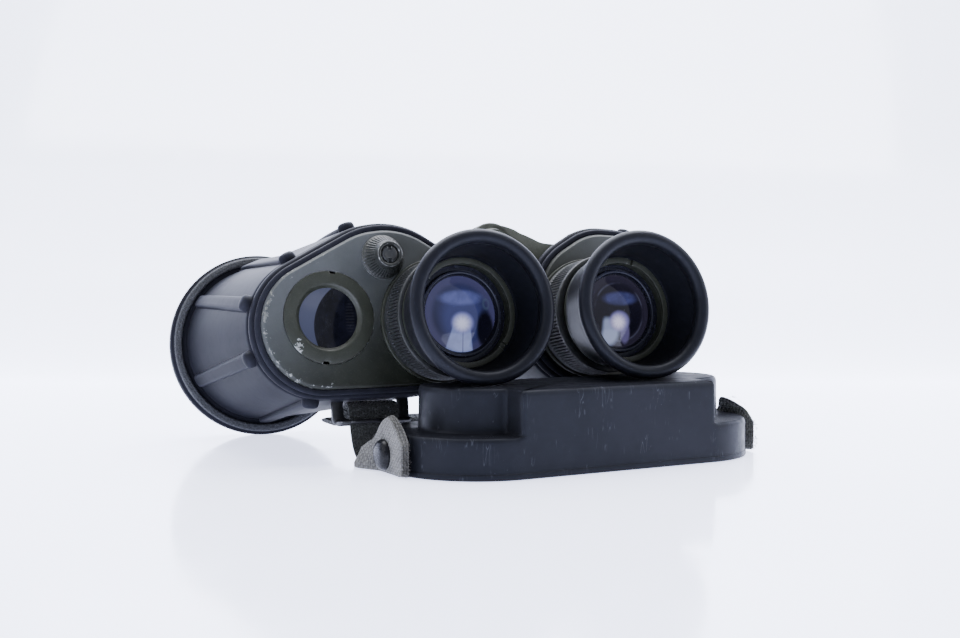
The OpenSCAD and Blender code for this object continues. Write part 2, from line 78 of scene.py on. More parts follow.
# ---------------------------------------------------------------- camera
EYE = (-0.2080, -0.44505, 0.0652)   # where the viewer stands, metres
EYE_TURN, EYE_DIP = 0.429, 0.033    # to the right and down, radians
cam = bpy.data.cameras.new("camera")
cam.lens, cam.sensor_width, cam.clip_start, cam.clip_end = 47.3, 36.0, 0.01, 60
cam_o = bpy.data.objects.new("camera", cam)
cam_o.location = EYE
cam_o.rotation_euler = (math.pi / 2 - EYE_DIP, 0.0, -EYE_TURN)
scene.collection.objects.link(cam_o)
scene.camera = cam_o

# ---------------------------------------------------------------- materials


class Mat:
    """A small builder for procedural materials."""

    def __init__(self, name, rough=0.5, metallic=0.0, specular=0.5, coat=0.0, coat_rough=0.1, sheen=0.0):
        self.m = bpy.data.materials.new(name)
        self.m.use_nodes = True
        self.t = self.m.node_tree
        self.t.nodes.clear()
        self.out = self.t.nodes.new("ShaderNodeOutputMaterial")
        self.b = self.t.nodes.new("ShaderNodeBsdfPrincipled")
        self.t.links.new(self.b.outputs[0], self.out.inputs[0])
        self.b.inputs["Roughness"].default_value = rough
        self.b.inputs["Metallic"].default_value = metallic
        self.b.inputs["Specular IOR Level"].default_value = specular
        self.b.inputs["Coat Weight"].default_value = coat
        self.b.inputs["Coat Roughness"].default_value = coat_rough
        self.b.inputs["Sheen Weight"].default_value = sheen
        self.co = self.t.nodes.new("ShaderNodeTexCoord").outputs["Object"]
        self.bumps = []

    def new(self, kind, **props):
        n = self.t.nodes.new(kind)
        for k, v in props.items():
            setattr(n, k, v)
        return n

    def put(self, node, i, v):
        if isinstance(v, bpy.types.NodeSocket):
            self.t.links.new(v, node.inputs[i])
        elif v is not None:
            node.inputs[i].default_value = v
        return node

    def math(self, op, a, b=None, clamp=False):
        n = self.new("ShaderNodeMath", operation=op, use_clamp=clamp)
        self.put(n, 0, a)
        self.put(n, 1, b)
        return n.outputs[0]

    def mul(self, a, b, clamp=False):
        return self.math("MULTIPLY", a, b, clamp)

    def add(self, a, b, clamp=False):
        return self.math("ADD", a, b, clamp)

    def sub(self, a, b, clamp=False):
        return self.math("SUBTRACT", a, b, clamp)

    def vmath(self, op, a, b=None, out=0):
        n = self.new("ShaderNodeVectorMath", operation=op)
        self.put(n, 0, a)
        self.put(n, 1, b)
        return n.outputs[out]

    def noise(self, mm, detail=3.0, rough=0.55, distort=0.0, co=None):
        n = self.new("ShaderNodeTexNoise")
        self.put(n, "Vector", co or self.co)
        n.inputs["Scale"].default_value = 1000.0 / mm
        n.inputs["Detail"].default_value = detail
        n.inputs["Roughness"].default_value = rough
        n.inputs["Distortion"].default_value = distort
        return n.outputs["Fac"]

    def cells(self, mm, feature="F1", co=None, out="Distance"):
        n = self.new("ShaderNodeTexVoronoi", feature=feature)
        self.put(n, "Vector", co or self.co)
        n.inputs["Scale"].default_value = 1000.0 / mm
        return n.outputs[out]

    def step(self, v, lo, hi, a=0.0, b=1.0):
        n = self.new("ShaderNodeMapRange", interpolation_type="SMOOTHSTEP")
        self.put(n, 0, v)
        n.inputs[1].default_value, n.inputs[2].default_value = lo, hi
        n.inputs[3].default_value, n.inputs[4].default_value = a, b
        return n.outputs[0]

    def mix(self, f, a, b, blend="MIX"):
        n = self.new("ShaderNodeMix", data_type="RGBA", blend_type=blend)
        for i, v in ((0, f), (6, a), (7, b)):
            if isinstance(v, tuple):
                v = (*v[:3], 1.0)
            self.put(n, i, v)
        return n.outputs[2]

    def attr(self, name="edge"):
        return self.new("ShaderNodeAttribute", attribute_name=name).outputs["Fac"]

    def turned(self, scale, turn=(0, 0, 0)):
        n = self.new("ShaderNodeMapping")
        self.put(n, 0, self.co)
        n.inputs["Rotation"].default_value = turn
        n.inputs["Scale"].default_value = scale
        return n.outputs[0]

    def bump(self, h, mm, strength=1.0):
        self.bumps.append((h, mm, strength))

    def finish(self, colour, rough=None, metal=None):
        self.put(self.b, "Base Color", (*colour, 1.0) if isinstance(colour, tuple) else colour)
        if rough is not None:
            self.put(self.b, "Roughness", rough)
        if metal is not None:
            self.put(self.b, "Metallic", metal)
        last = None
        for h, mm, strength in self.bumps:
            n = self.new("ShaderNodeBump")
            n.inputs["Strength"].default_value = strength
            n.inputs["Distance"].default_value = mm * MM
            self.put(n, "Height", h)
            if last is not None:
                self.put(n, "Normal", last)
            last = n.outputs[0]
        if last is not None:
            self.put(self.b, "Normal", last)
        return self.m

    def upward(self, socket, lo, hi, a, b):
        """A value that goes from a to b as the surface turns upward."""
        sep = self.new("ShaderNodeSeparateXYZ")
        self.put(sep, 0, self.new("ShaderNodeNewGeometry").outputs["Normal"])
        self.put(self.b, socket, self.step(sep.outputs[2], lo, hi, a, b))

    def scratches(self, turn, mm=3.0, stretch=22.0, width=0.03, amount=0.5):
        """Thin straight scratches: the zero line of a stretched noise, broken up by a second one."""
        co = self.turned((1.0, 1.0 / stretch, 1.0 / stretch), turn)
        line = self.math("ABSOLUTE", self.sub(self.noise(mm / stretch, 1.0, 0.4, co=co), 0.5))
        thin = self.step(line, 0.0, width, 1.0, 0.0)
        gate = self.step(self.noise(7.0, 2.0, 0.6), 1 - amount - 0.03, 1 - amount + 0.06)
        return self.mul(thin, gate)


def painted(name, low, high, wear, rough=0.45, metal_wear=1.0, wear_at=(0.62, 0.74), edge_gain=1.6,
        grain=0.35, grain_mm=0.55, chips=0.0, dust=None, coat=0.0, spec=0.4, worn_area=None, painted_top_light=False):
    """Paint or anodising: blotches, fine grain, edge wear to the metal below, and dust."""
    k = Mat(name, rough=rough, coat=coat, specular=spec)
    big, mid, fine = k.noise(14, 4, 0.6), k.noise(2.6, 3, 0.6), k.noise(grain_mm, 2, 0.5)
    col = k.mix(k.step(big, 0.35, 0.68), low, high)
    col = k.mix(k.step(mid, 0.55, 0.8, 0.0, 0.35), col, tuple(c * 0.55 for c in low))
    col = k.mix(k.step(fine, 0.56, 0.72, 0.0, 0.35), col, tuple(min(1, c * 1.7 + 0.01) for c in high))
    if painted_top_light:
        # painted light: the plate made lighter up and outwards, where light falls on it
        sep = k.new("ShaderNodeSeparateXYZ")
        k.put(sep, 0, k.co)
        lift = k.add(k.mul(k.math("ABSOLUTE", sep.outputs[0]), 9.0), k.mul(sep.outputs[2], 17.0))
        painted_light_mask = k.mul(k.step(lift, 1.0, 2.1), k.step(big, 0.2, 0.8, 0.75, 1.0))
        col = k.mix(k.mul(painted_light_mask, 0.85), col, (0.092, 0.099, 0.104))
    e = k.step(k.attr(), 0.02, 0.28)
    patchy = k.mul(e, edge_gain * 0.5)
    w = k.add(patchy, k.mul(k.noise(1.7, 4, 0.65), 0.62))
    if chips:
        w = k.add(w, k.mul(k.step(k.noise(5.5, 3, 0.7), 0.66, 0.8), chips))
    if worn_area is not None:
        w = k.add(w, worn_area(k))
    w = k.step(w, *wear_at)
    col = k.mix(w, col, k.mix(k.noise(0.8, 2), tuple(c * 0.6 for c in wear), wear))
    r = k.step(mid, 0.2, 0.8, rough - 0.07, rough + 0.12)
    if dust:
        up = k.new("ShaderNodeSeparateXYZ")
        k.put(up, 0, k.new("ShaderNodeNewGeometry").outputs["Normal"])
        d = k.mul(k.step(up.outputs[2], 0.1, 0.95), k.step(k.noise(0.9, 4, 0.7), 0.42, 0.68, 0.0, dust[3]))
        col = k.mix(d, col, dust[:3])
        r = k.add(r, k.mul(d, 0.3))
    k.bump(fine, 0.06, grain)
    k.bump(mid, 0.12, grain * 0.6)
    k.bump(k.sub(1.0, w), 0.05, 0.5)
    return k.finish(col, r, k.mul(w, metal_wear))


def rubber(name, low, high, rough=0.42, speck=0.25, coat=0.0, painted_edge_highlight=None, grain=0.3, scuff=0.5,
        spec=0.5, dusty=0.25, patch=1.0, top_spec=None):
    k = Mat(name, rough=rough, specular=spec, coat=coat, coat_rough=0.25, sheen=0.0)
    big, mid, fine = k.noise(22, 4, 0.55), k.noise(3.2, 4, 0.6), k.noise(0.35, 3, 0.6)
    col = k.mix(k.step(big, 0.35, 0.7), low, high)
    col = k.mix(k.step(mid, 0.5, 0.8, 0, 0.4), col, tuple(c * 0.6 for c in low))
    col = k.mix(k.step(fine, 0.62, 0.74, 0, speck), col, tuple(min(1, c * 2.2 + 0.02) for c in high))
    # painted highlight along the convex edges, where light catches them
    if painted_edge_highlight:
        col = k.mix(k.mul(k.step(k.attr(), 0.03, 0.25), k.step(mid, 0.3, 0.7, 0.35, 1.0)), col, painted_edge_highlight)
    sc = k.add(k.scratches((0.3, 0.2, 0.9), 5, 26, 0.022, 0.42), k.scratches((0.9, 1.2, 0.2), 4, 20, 0.02,
        0.36), clamp=True)
    col = k.mix(k.mul(sc, scuff), col, tuple(min(1, c * 2.6 + 0.03) for c in high))
    dirt = k.mul(k.step(k.noise(9, 5, 0.7), 0.55, 0.75), k.step(fine, 0.4, 0.6))
    col = k.mix(k.mul(dirt, dusty), col, (0.23, 0.23, 0.25))
    r = k.add(k.step(mid, 0.25, 0.75, rough - 0.08 * patch, rough + 0.1 * patch), k.mul(dirt, 0.18 * patch))
    k.bump(fine, 0.05, grain)
    k.bump(mid, 0.1, grain * 0.5)
    k.bump(sc, 0.03, 0.6 * scuff)
    k.b.inputs["Specular Tint"].default_value = (0.80, 0.85, 1.0, 1.0)
    if top_spec is not None:
        k.upward("Specular IOR Level", -0.1, 0.85, spec, top_spec)
    return k.finish(col, r)


def local_axes(k, side, ax, az, y=18.5):
    """Millimetres right and up on a lens, seen from its user's side."""
    c = place([ax, y, az], side)
    d = k.vmath("SUBTRACT", k.co, tuple(float(q) for q in c))
    u = k.vmath("DOT_PRODUCT", d, (1000.0, 0.0, 0.0), 1)
    w = k.vmath("DOT_PRODUCT", d, (0.0, ST * 1000, CT * 1000), 1)
    return u, w


def spot(k, u, w, u0, w0, ru, rw, soft=0.4):
    du = k.math("DIVIDE", k.sub(u, u0), ru)
    dw = k.math("DIVIDE", k.sub(w, w0), rw)
    d = k.math("SQRT", k.add(k.mul(du, du), k.mul(dw, dw)))
    return k.step(d, 1.0 - soft, 1.0 + soft, 1.0, 0.0)


M = {}
M["armour"] = rubber("rubber_armour", (0.0100, 0.0104, 0.0140), (0.0128, 0.0132, 0.0178), rough=0.42,
    speck=0.05, painted_edge_highlight=(0.034, 0.035, 0.046), grain=0.02, scuff=0.02, spec=0.010, dusty=0.05,
    patch=0.12, top_spec=0.06)


def bumper_face():
    k = Mat("rubber_bumper_face", rough=0.7)
    g, f = k.cells(0.75), k.noise(0.5, 3, 0.7)
    col = k.mix(k.step(g, 0.1, 0.6), (0.012, 0.013, 0.016), (0.03, 0.032, 0.038))
    spark = k.step(f, 0.6, 0.7)
    col = k.mix(k.mul(spark, k.step(k.noise(6, 3), 0.35, 0.6, 0.2, 0.95)), col, (0.19, 0.2, 0.22))
    k.bump(g, 0.35, 0.8)
    k.bump(f, 0.2, 0.8)
    return k.finish(col, k.step(f, 0.3, 0.7, 0.5, 0.85))


M["bumper"] = bumper_face()


def plate_wear(k):
    """Heavier wear low on the outer side of the plate."""
    sep = k.new("ShaderNodeSeparateXYZ")
    k.put(sep, 0, k.co)
    out = k.step(sep.outputs[0], -0.045, -0.085)
    return k.mul(k.mul(out, k.step(k.attr("rim"), 0.15, 0.9)), k.step(k.noise(2.4, 4, 0.7), 0.38, 0.7, 0.0,
        0.55))


M["plate"] = painted("olive_paint_plate", (0.0064, 0.0078, 0.0048), (0.0118, 0.0138, 0.0090),
    (0.26, 0.27, 0.26), rough=0.42, wear_at=(0.67, 0.78), edge_gain=1.25, chips=0.06, grain=0.4, spec=0.25,
    worn_area=plate_wear, painted_top_light=True)
M["ring"] = painted("olive_anodised_ring", (0.0130, 0.0152, 0.0100), (0.0200, 0.0228, 0.0155),
    (0.34, 0.35, 0.33), rough=0.4, wear_at=(0.74, 0.84), edge_gain=1.3, grain=0.22, grain_mm=0.4)


def ring_wear(k):
    """Chips low on the outside of the window ring and along its lower edge."""
    u, w = local_axes(k, LEFT, WX, WZ, 38.6)
    a = k.mul(spot(k, u, w, -11.2, -9.6, 1.9, 2.9, 0.35), 0.5)
    b = k.mul(spot(k, u, w, 8.4, -13.2, 5.0, 2.0, 0.4), 0.2)
    return k.mul(k.add(a, b), k.step(k.noise(1.6, 3, 0.6), 0.3, 0.6, 0.5, 1.0))


M["knob"] = painted("olive_knob", (0.008, 0.0092, 0.0082), (0.018, 0.020, 0.018), (0.5, 0.51, 0.5),
    rough=0.42, wear_at=(0.60, 0.78), edge_gain=1.7, grain=0.4, grain_mm=0.4)
M["arm"] = painted("olive_paint_hinge", (0.024, 0.028, 0.0205), (0.040, 0.045, 0.0335), (0.35, 0.36, 0.32),
    rough=0.52, wear_at=(0.76, 0.88), edge_gain=1.0, grain=0.45)
M["window_ring"] = painted("olive_anodised_window_ring", (0.0125, 0.0145, 0.0095), (0.0180, 0.0205, 0.0138),
    (0.42, 0.44, 0.43), rough=0.4, wear_at=(0.72, 0.80), edge_gain=1.3, grain=0.2, grain_mm=0.4,
    worn_area=ring_wear)
M["black_metal"] = painted("black_metal", (0.005, 0.005, 0.006), (0.012, 0.012, 0.014), (0.4, 0.4, 0.42),
    rough=0.35, wear_at=(0.78, 0.9), edge_gain=1.2, grain=0.25)
M["rivet"] = painted("black_rivet", (0.0035, 0.0036, 0.0048), (0.0080, 0.0082, 0.0105), (0.30, 0.30, 0.32),
    rough=0.24, wear_at=(0.84, 0.95), edge_gain=0.9, grain=0.15, spec=0.14)
M["focus"] = painted("dark_knurled_ring", (0.007, 0.008, 0.0085), (0.015, 0.0165, 0.018),
    (0.30, 0.31, 0.29), rough=0.5, wear_at=(0.80, 0.95), edge_gain=1.0, grain=0.3,
    dust=(0.2, 0.2, 0.19, 0.35))
M["steel"] = painted("steel", (0.26, 0.26, 0.27), (0.38, 0.38, 0.39), (0.6, 0.6, 0.6), rough=0.32,
    wear_at=(0.6, 0.9), metal_wear=0.6, grain=0.15)
M["bezel"] = rubber("purple_grey_bezel", (0.0050, 0.0050, 0.0085), (0.0085, 0.0085, 0.0140), rough=0.26,
    speck=0.04, painted_edge_highlight=(0.055, 0.055, 0.10), grain=0.02, scuff=0.03, spec=0.3, dusty=0.03, patch=0.2)
M["screw"] = painted("dark_screw", (0.010, 0.011, 0.012), (0.03, 0.032, 0.034), (0.35, 0.36, 0.36),
    rough=0.38, wear_at=(0.66, 0.85), grain=0.2)
M["eyecup"] = rubber("rubber_eyecup", (0.0042, 0.0044, 0.0060), (0.0066, 0.0069, 0.0096), rough=0.38,
    speck=0.08, painted_edge_highlight=(0.026, 0.027, 0.044), grain=0.015, scuff=0.02, dusty=0.02, spec=0.13, patch=0.2)
M["black_plastic"] = rubber("black_plastic", (0.006, 0.006, 0.007), (0.013, 0.013, 0.015), rough=0.35,
    speck=0.1, painted_edge_highlight=(0.03, 0.03, 0.033))


def guard_plastic():
    k = Mat("guard_plastic", rough=0.42, specular=0.10)
    k.b.inputs["Specular Tint"].default_value = (0.78, 0.84, 1.0, 1.0)
    big, mid, fine = k.noise(30, 4, 0.55), k.noise(4, 4, 0.65), k.noise(0.4, 3, 0.6)
    low, high = (0.0080, 0.0085, 0.0112), (0.0108, 0.0114, 0.0150)
    col = k.mix(k.step(big, 0.35, 0.7), low, high)
    col = k.mix(k.step(mid, 0.52, 0.85, 0, 0.10), col, (0.007, 0.008, 0.012))
    sc = None
    for turn, mm, width, amount, weight in (((0.3, 0.75, 0.2), 30, 0.007, 0.42, 0.8),
            ((0.5, 1.35, 0.4), 26, 0.008, 0.40, 0.8), ((0.2, 2.0, 0.3), 34, 0.007, 0.42, 0.7),
            ((0.6, 2.6, 0.2), 24, 0.008, 0.40, 0.7), ((0.1, 0.25, 0.5), 28, 0.006, 0.38, 0.6)):
        one = k.mul(k.scratches(turn, mm, 9, width, amount), weight)
        sc = one if sc is None else k.math("MAXIMUM", sc, one)
    pits = k.mul(k.step(k.cells(2.6), 0.02, 0.07, 1, 0), k.step(k.noise(11, 2), 0.42, 0.6))
    marks = k.math("MAXIMUM", sc, pits)
    col = k.mix(k.mul(marks, 0.42), col, (0.085, 0.09, 0.11))
    e = k.step(k.attr(), 0.05, 0.28)
    w = k.step(k.add(k.mul(e, 0.66), k.mul(k.noise(1.5, 4, 0.7), 0.7)), 0.76, 0.92)
    col = k.mix(k.mul(w, 0.55), col, (0.13, 0.135, 0.15))
    dusty = k.mul(k.step(k.noise(13, 5, 0.7), 0.52, 0.72), k.step(fine, 0.42, 0.62, 0, 0.04))
    col = k.mix(dusty, col, (0.08, 0.085, 0.10))
    r = k.add(k.step(mid, 0.25, 0.75, 0.33, 0.5), k.mul(w, 0.2))
    k.upward("Specular IOR Level", 0.6, 0.95, 0.10, 0.005)  # the flat top is dull
    k.bump(fine, 0.05, 0.25)
    k.bump(mid, 0.12, 0.16)
    k.bump(marks, 0.03, 0.4)
    return k.finish(col, r)


M["guard"] = guard_plastic()


def woven(name, a, b, gap, pitch, fuzz=0.5, rough=0.8, herring=False):
    """Cloth from the piece's own flat coordinates: warp over weft, thread by thread."""
    k = Mat(name, rough=rough, sheen=0.25)
    uv = k.new("ShaderNodeUVMap", uv_map="flat").outputs[0]
    sep = k.new("ShaderNodeSeparateXYZ")
    k.put(sep, 0, uv)
    u, v = (k.mul(sep.outputs[i], 1000.0 / pitch) for i in (0, 1))
    wob = k.mul(k.sub(k.noise(3.0, 3), 0.5), 0.7)
    u, v = k.add(u, wob), k.add(v, wob)
    if herring:
        v = k.add(v, k.mul(k.math("PINGPONG", u, 3.0), 0.5))
    su, sv = (k.math("ABSOLUTE", k.math("SINE", k.mul(x, math.pi))) for x in (u, v))
    par = k.math("MODULO", k.add(k.math("FLOOR", u), k.math("FLOOR", v)), 2.0)
    par = k.math("ABSOLUTE", par)
    thread = k.add(k.mul(su, par), k.mul(sv, k.sub(1.0, par)))
    height = k.add(thread, k.mul(k.noise(0.25, 3, 0.7), fuzz))
    col = k.mix(k.step(k.noise(7, 4, 0.6), 0.35, 0.7), a, b)
    col = k.mix(k.step(k.noise(0.6, 3, 0.7), 0.45, 0.75, 0, 0.6), col, tuple(c * 0.5 for c in a))
    # painted shade in the gaps between the threads
    col = k.mix(k.step(height, 0.25, 0.9, 1.0, 0.0), col, gap)
    col = k.mix(k.step(k.noise(0.35, 2), 0.66, 0.72, 0, 0.55), col, tuple(min(1, c * 2.2 + 0.02) for c in b))
    k.bump(height, 0.35, 0.9)
    return k.finish(col, k.step(height, 0, 1, rough + 0.1, rough - 0.1))


M["canvas"] = woven("canvas_tan", (0.060, 0.058, 0.052), (0.125, 0.122, 0.112), (0.010, 0.010, 0.009), 0.95,
    0.9)
M["canvas_dark"] = woven("canvas_olive", (0.022, 0.024, 0.019), (0.050, 0.053, 0.042),
    (0.006, 0.0065, 0.005), 0.95, 0.9)
M["fray"] = woven("canvas_cut_end", (0.035, 0.031, 0.025), (0.11, 0.10, 0.08), (0.006, 0.0055, 0.005), 0.7,
    1.4)
M["webbing"] = woven("webbing_green_black", (0.012, 0.014, 0.011), (0.030, 0.034, 0.027),
    (0.003, 0.0035, 0.003), 1.15, 0.35, herring=True)


def eye_glass(name, side):
    k = Mat(name, rough=0.04, specular=0.3, coat=0.12, coat_rough=0.02)
    u, w = local_axes(k, side, EX, 0.0, 18.5 if side < 0 else 16.1)
    n1, n2 = k.noise(6, 3, 0.6, 0.4), k.noise(1.1, 3, 0.6)
    inside = k.step(k.math("SQRT", k.add(k.mul(u, u), k.mul(w, w))), 9.5, 12.0)
    # painted reflections: the lights and the inside of the ocular seen in the lens, as bands, arcs and a
    # bright blob at the exit with a fan below it
    if side < 0:
        base = k.mix(k.step(w, -9, 10), (0.011, 0.013, 0.045), (0.026, 0.030, 0.088))
        base = k.mix(k.mul(inside, 0.8), base, (0.055, 0.055, 0.14))
        base = k.mix(k.mul(spot(k, u, w, 0.5, -1.5, 8.0, 9.5, 0.35), 0.75), base, (0.045, 0.055, 0.19))
        base = k.mix(k.mul(spot(k, u, w, 0.3, 5.6, 7.6, 2.5, 0.35), k.step(n1, 0.3, 0.7, 0.5, 1.0)), base,
            (0.11, 0.13, 0.36))
        base = k.mix(spot(k, u, w, 9.2, -5.5, 3.4, 6.5, 0.25), base, (0.003, 0.003, 0.008))
        fan_u = k.sub(u, k.mul(k.add(w, 3.0), 0.12))
        half = k.add(2.6, k.mul(k.mul(w, -1.0), 0.24))
        fan = k.mul(k.step(k.sub(half, k.math("ABSOLUTE", fan_u)), 0.0, 0.8), k.step(w, -4.0, -2.0, 1, 0))
        base = k.mix(k.mul(fan, k.step(n1, 0.25, 0.75, 0.65, 1.0)), base, (0.22, 0.27, 0.56))
        seam = k.mul(k.step(k.math("ABSOLUTE", k.sub(u, 0.3)), 0.05, 0.3, 1, 0), k.step(w, -7.0, -5.5, 1, 0))
        base = k.mix(k.mul(seam, 0.8), base, (0.03, 0.035, 0.12))
        base = k.mix(spot(k, u, w, 0.3, -3.2, 4.0, 3.6, 0.25), base, (0.20, 0.22, 0.52))
        base = k.mix(spot(k, u, w, 0.1, -3.4, 2.4, 2.2, 0.75), base, (0.70, 0.72, 1.0))
        # painted glint: a small ring of light
        ring = k.sub(spot(k, u, w, 10.0, 3.4, 1.5, 2.1, 0.2), spot(k, u, w, 10.2, 3.4, 0.8, 1.2, 0.3))
        base = k.mix(k.mul(ring, 0.3, clamp=True), base, (0.08, 0.12, 0.19))
    else:
        base = k.mix(k.step(w, -9, 10), (0.004, 0.004, 0.009), (0.010, 0.009, 0.018))
        base = k.mix(k.mul(inside, 0.5), base, (0.030, 0.026, 0.05))
        base = k.mix(k.mul(spot(k, u, w, 1.3, 4.6, 6.6, 2.4, 0.35), k.step(n1, 0.3, 0.7, 0.5, 1.0)), base,
            (0.055, 0.062, 0.19))
        arc = k.sub(spot(k, u, w, 0.6, -0.3, 10.4, 11.0, 0.04), spot(k, u, w, 0.6, -0.3, 10.0, 10.5, 0.04))
        base = k.mix(k.mul(k.mul(arc, k.step(k.noise(9, 2), 0.4, 0.65)), 0.4, clamp=True), base,
            (0.16, 0.17, 0.28))
        left = k.mul(spot(k, u, w, -5.0, -7.6, 4.6, 5.0, 0.25), k.step(k.add(u, k.mul(w, 0.35)), -2.4, -1.4,
            1, 0))
        left = k.mul(left, k.step(k.add(k.mul(u, -1.0), k.mul(w, 0.1)), 7.0, 5.0))
        base = k.mix(left, base, (0.26, 0.31, 0.50))
        base = k.mix(k.mul(spot(k, u, w, 2.4, -8.2, 2.0, 3.6, 0.3), 0.8), base, (0.13, 0.115, 0.27))
        base = k.mix(spot(k, u, w, 0.2, -3.8, 4.0, 3.6, 0.25), base, (0.19, 0.18, 0.42))
        base = k.mix(spot(k, u, w, -0.3, -4.2, 2.3, 2.2, 0.75), base, (0.78, 0.74, 1.0))
    # painted reflection: faint petals round the bright exit
    ang = k.math("ARCTAN2", k.add(w, 3.7), u)
    petals = k.step(k.math("ABSOLUTE", k.math("SINE", k.mul(ang, 4.5))), 0.0, 0.22, 1, 0)
    near = spot(k, u, w, 0.2, -3.7, 3.4, 3.2, 0.25)
    base = k.mix(k.mul(k.mul(petals, near), 0.55), base, (0.12, 0.13, 0.36))
    base = k.mix(k.step(n2, 0.7, 0.78, 0, 0.2), base, (0.4, 0.42, 0.5))
    # the painted reflections glow, standing in for light
    k.put(k.b, "Emission Color", base)
    k.b.inputs["Emission Strength"].default_value = 0.85
    base = k.mix(0.9, base, (0.001, 0.001, 0.002))
    k.bump(n2, 0.004, 0.1)
    return k.finish(base, k.step(n2, 0.3, 0.8, 0.03, 0.09))


M["eye_left"] = eye_glass("coated_eye_lens_painted_reflection_left", LEFT)
M["eye_right"] = eye_glass("coated_eye_lens_painted_reflection_right", RIGHT)


def window_glass():
    k = Mat("window_glass", rough=0.05, specular=0.2, coat=0.0, coat_rough=0.03)
    u, w = local_axes(k, LEFT, WX, WZ, 40.0)
    # painted shade and reflection: a round painted shadow over the inner part of the pane, and over the outer
    # crescent a painted reflection of the bright room, lighter towards the top, with a painted highlight
    shade = spot(k, u, w, 12.0, -3.5, 17.3, 17.3, 0.012)
    n = k.noise(5, 3, 0.6)
    col = k.mix(k.step(w, -11, 10), (0.075, 0.087, 0.165), (0.105, 0.118, 0.20))
    col = k.mix(k.mul(spot(k, u, w, -4.0, 6.0, 5, 3, 0.6), 0.3), col, (0.19, 0.2, 0.28))
    dark = k.mix(k.step(n, 0.3, 0.8), (0.003, 0.0035, 0.006), (0.010, 0.011, 0.022))
    col = k.mix(shade, col, dark)
    lines = k.mul(k.step(k.math("ABSOLUTE", k.math("SINE", k.mul(w, 2.9))), 0.75, 1.0),
        spot(k, u, w, 8.0, 0.0, 1.6, 5.5, 0.3))
    col = k.mix(k.mul(lines, 0.5), col, (0.035, 0.036, 0.045))
    sc = k.add(k.scratches((0.2, 0.9, 0.3), 4, 22, 0.02, 0.45), k.scratches((1.0, 0.4, 0.2), 4, 22, 0.018,
        0.45), clamp=True)
    col = k.mix(k.mul(sc, 0.35), col, (0.08, 0.085, 0.11))
    # the pane glows with its painted reflection, standing in for light
    k.put(k.b, "Emission Color", col)
    k.b.inputs["Emission Strength"].default_value = 0.6
    col = k.mix(0.9, col, (0.001, 0.001, 0.002))
    return k.finish(col, k.step(n, 0.3, 0.8, 0.04, 0.12))


M["window"] = window_glass()


def coated_front(name):
    k = Mat(name, rough=0.04, specular=0.7, coat=0.8, coat_rough=0.02)
    n = k.noise(8, 3, 0.6)
    col = k.mix(k.step(n, 0.3, 0.7), (0.022, 0.008, 0.034), (0.035, 0.014, 0.06))
    return k.finish(col, k.step(n, 0.3, 0.8, 0.03, 0.08))


M["front_glass"] = coated_front("coated_front_lens")


def inner_glass():
    k = Mat("inner_glass", rough=0.05, specular=0.6)
    n = k.noise(6, 3, 0.6)
    col = k.mix(n, (0.10, 0.12, 0.16), (0.16, 0.18, 0.24))
    k.b.inputs["Transmission Weight"].default_value = 0.6
    return k.finish(col, k.step(n, 0.3, 0.8, 0.04, 0.1))


M["inner_glass"] = inner_glass()

# ---------------------------------------------------------------- mesh helpers


def faces_of(rows, cols, close_rows, close_cols, base=0):
    i, j = np.meshgrid(np.arange(rows if close_rows else rows - 1),
        np.arange(cols if close_cols else cols - 1), indexing="ij")
    i2, j2 = (i + 1) % rows, (j + 1) % cols
    q = np.stack([i * cols + j, i * cols + j2, i2 * cols + j2, i2 * cols + j], -1) + base
    return q.reshape(-1, 4).tolist()


class Shape:
    """Collects islands of vertices and faces, in metres, then makes one object."""

    def __init__(self):
        self.v, self.f, self.m, self.uv = [], [], [], {}
        self.n = 0
        self.extra = []

    def add(self, verts, faces, mat=0, extra=None):
        verts = np.asarray(verts, float).reshape(-1, 3)
        base = self.n
        self.v.append(verts)
        self.n += len(verts)
        self.f += [[q + base for q in f] for f in faces]
        self.m += list(mat) if hasattr(mat, "__len__") else [mat] * len(faces)
        self.extra.append(np.zeros(len(verts)) if extra is None else np.asarray(extra, float).reshape(-1))
        return base

    def grid(self, rows, close_rows=True, close_cols=True, mat=0, caps=(), extra=None):
        rows = np.asarray(rows, float)
        r, c = rows.shape[:2]
        fs = faces_of(r, c, close_rows, close_cols)
        if hasattr(mat, "__len__"):
            mm = np.repeat(np.asarray(mat)[: (r if close_rows else r - 1)], c if close_cols else c
                - 1).tolist()
        else:
            mm = [mat] * len(fs)
        if 0 in caps:
            fs.append(list(range(c)))
            mm.append(mm[0])
        if 1 in caps:
            fs.append([(r - 1) * c + q for q in range(c)])
            mm.append(mm[-1])
        return self.add(rows.reshape(-1, 3), fs, mm, extra)

    def make(self, name, mats, body, slot=None, replaces=(), angle=32, flat_uv=None, edge_passes=1,
            modify=None, extra_name=None):
        me = bpy.data.meshes.new(name)
        me.from_pydata(np.concatenate(self.v).tolist(), [], self.f)
        me.polygons.foreach_set("material_index", np.array(self.m, np.int32))
        for m in mats:
            me.materials.append(m)
        if extra_name:
            a = me.attributes.new(extra_name, "FLOAT", "POINT")
            a.data.foreach_set("value", np.concatenate(self.extra))
        if flat_uv is not None:
            layer = me.uv_layers.new(name="flat")
            li = np.empty(len(me.loops), np.int32)
            me.loops.foreach_get("vertex_index", li)
            layer.data.foreach_set("uv", np.asarray(flat_uv, float).reshape(-1, 2)[li].reshape(-1))
        o = bpy.data.objects.new(name, me)
        scene.collection.objects.link(o)
        bm = bmesh.new()
        bm.from_mesh(me)
        bmesh.ops.remove_doubles(bm, verts=bm.verts, dist=2e-6)
        bmesh.ops.dissolve_degenerate(bm, dist=1e-7, edges=bm.edges)
        bmesh.ops.recalc_face_normals(bm, faces=bm.faces)
        bm.to_mesh(me)
        bm.free()
        if modify:
            modify(o)
            me = o.data
        me.shade_smooth()
        me.set_sharp_from_angle(angle=math.radians(angle))
        convexity(me, edge_passes)
        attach(o, body)
        if replaces:
            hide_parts(*([replaces] if isinstance(replaces, str) else replaces))
        return o


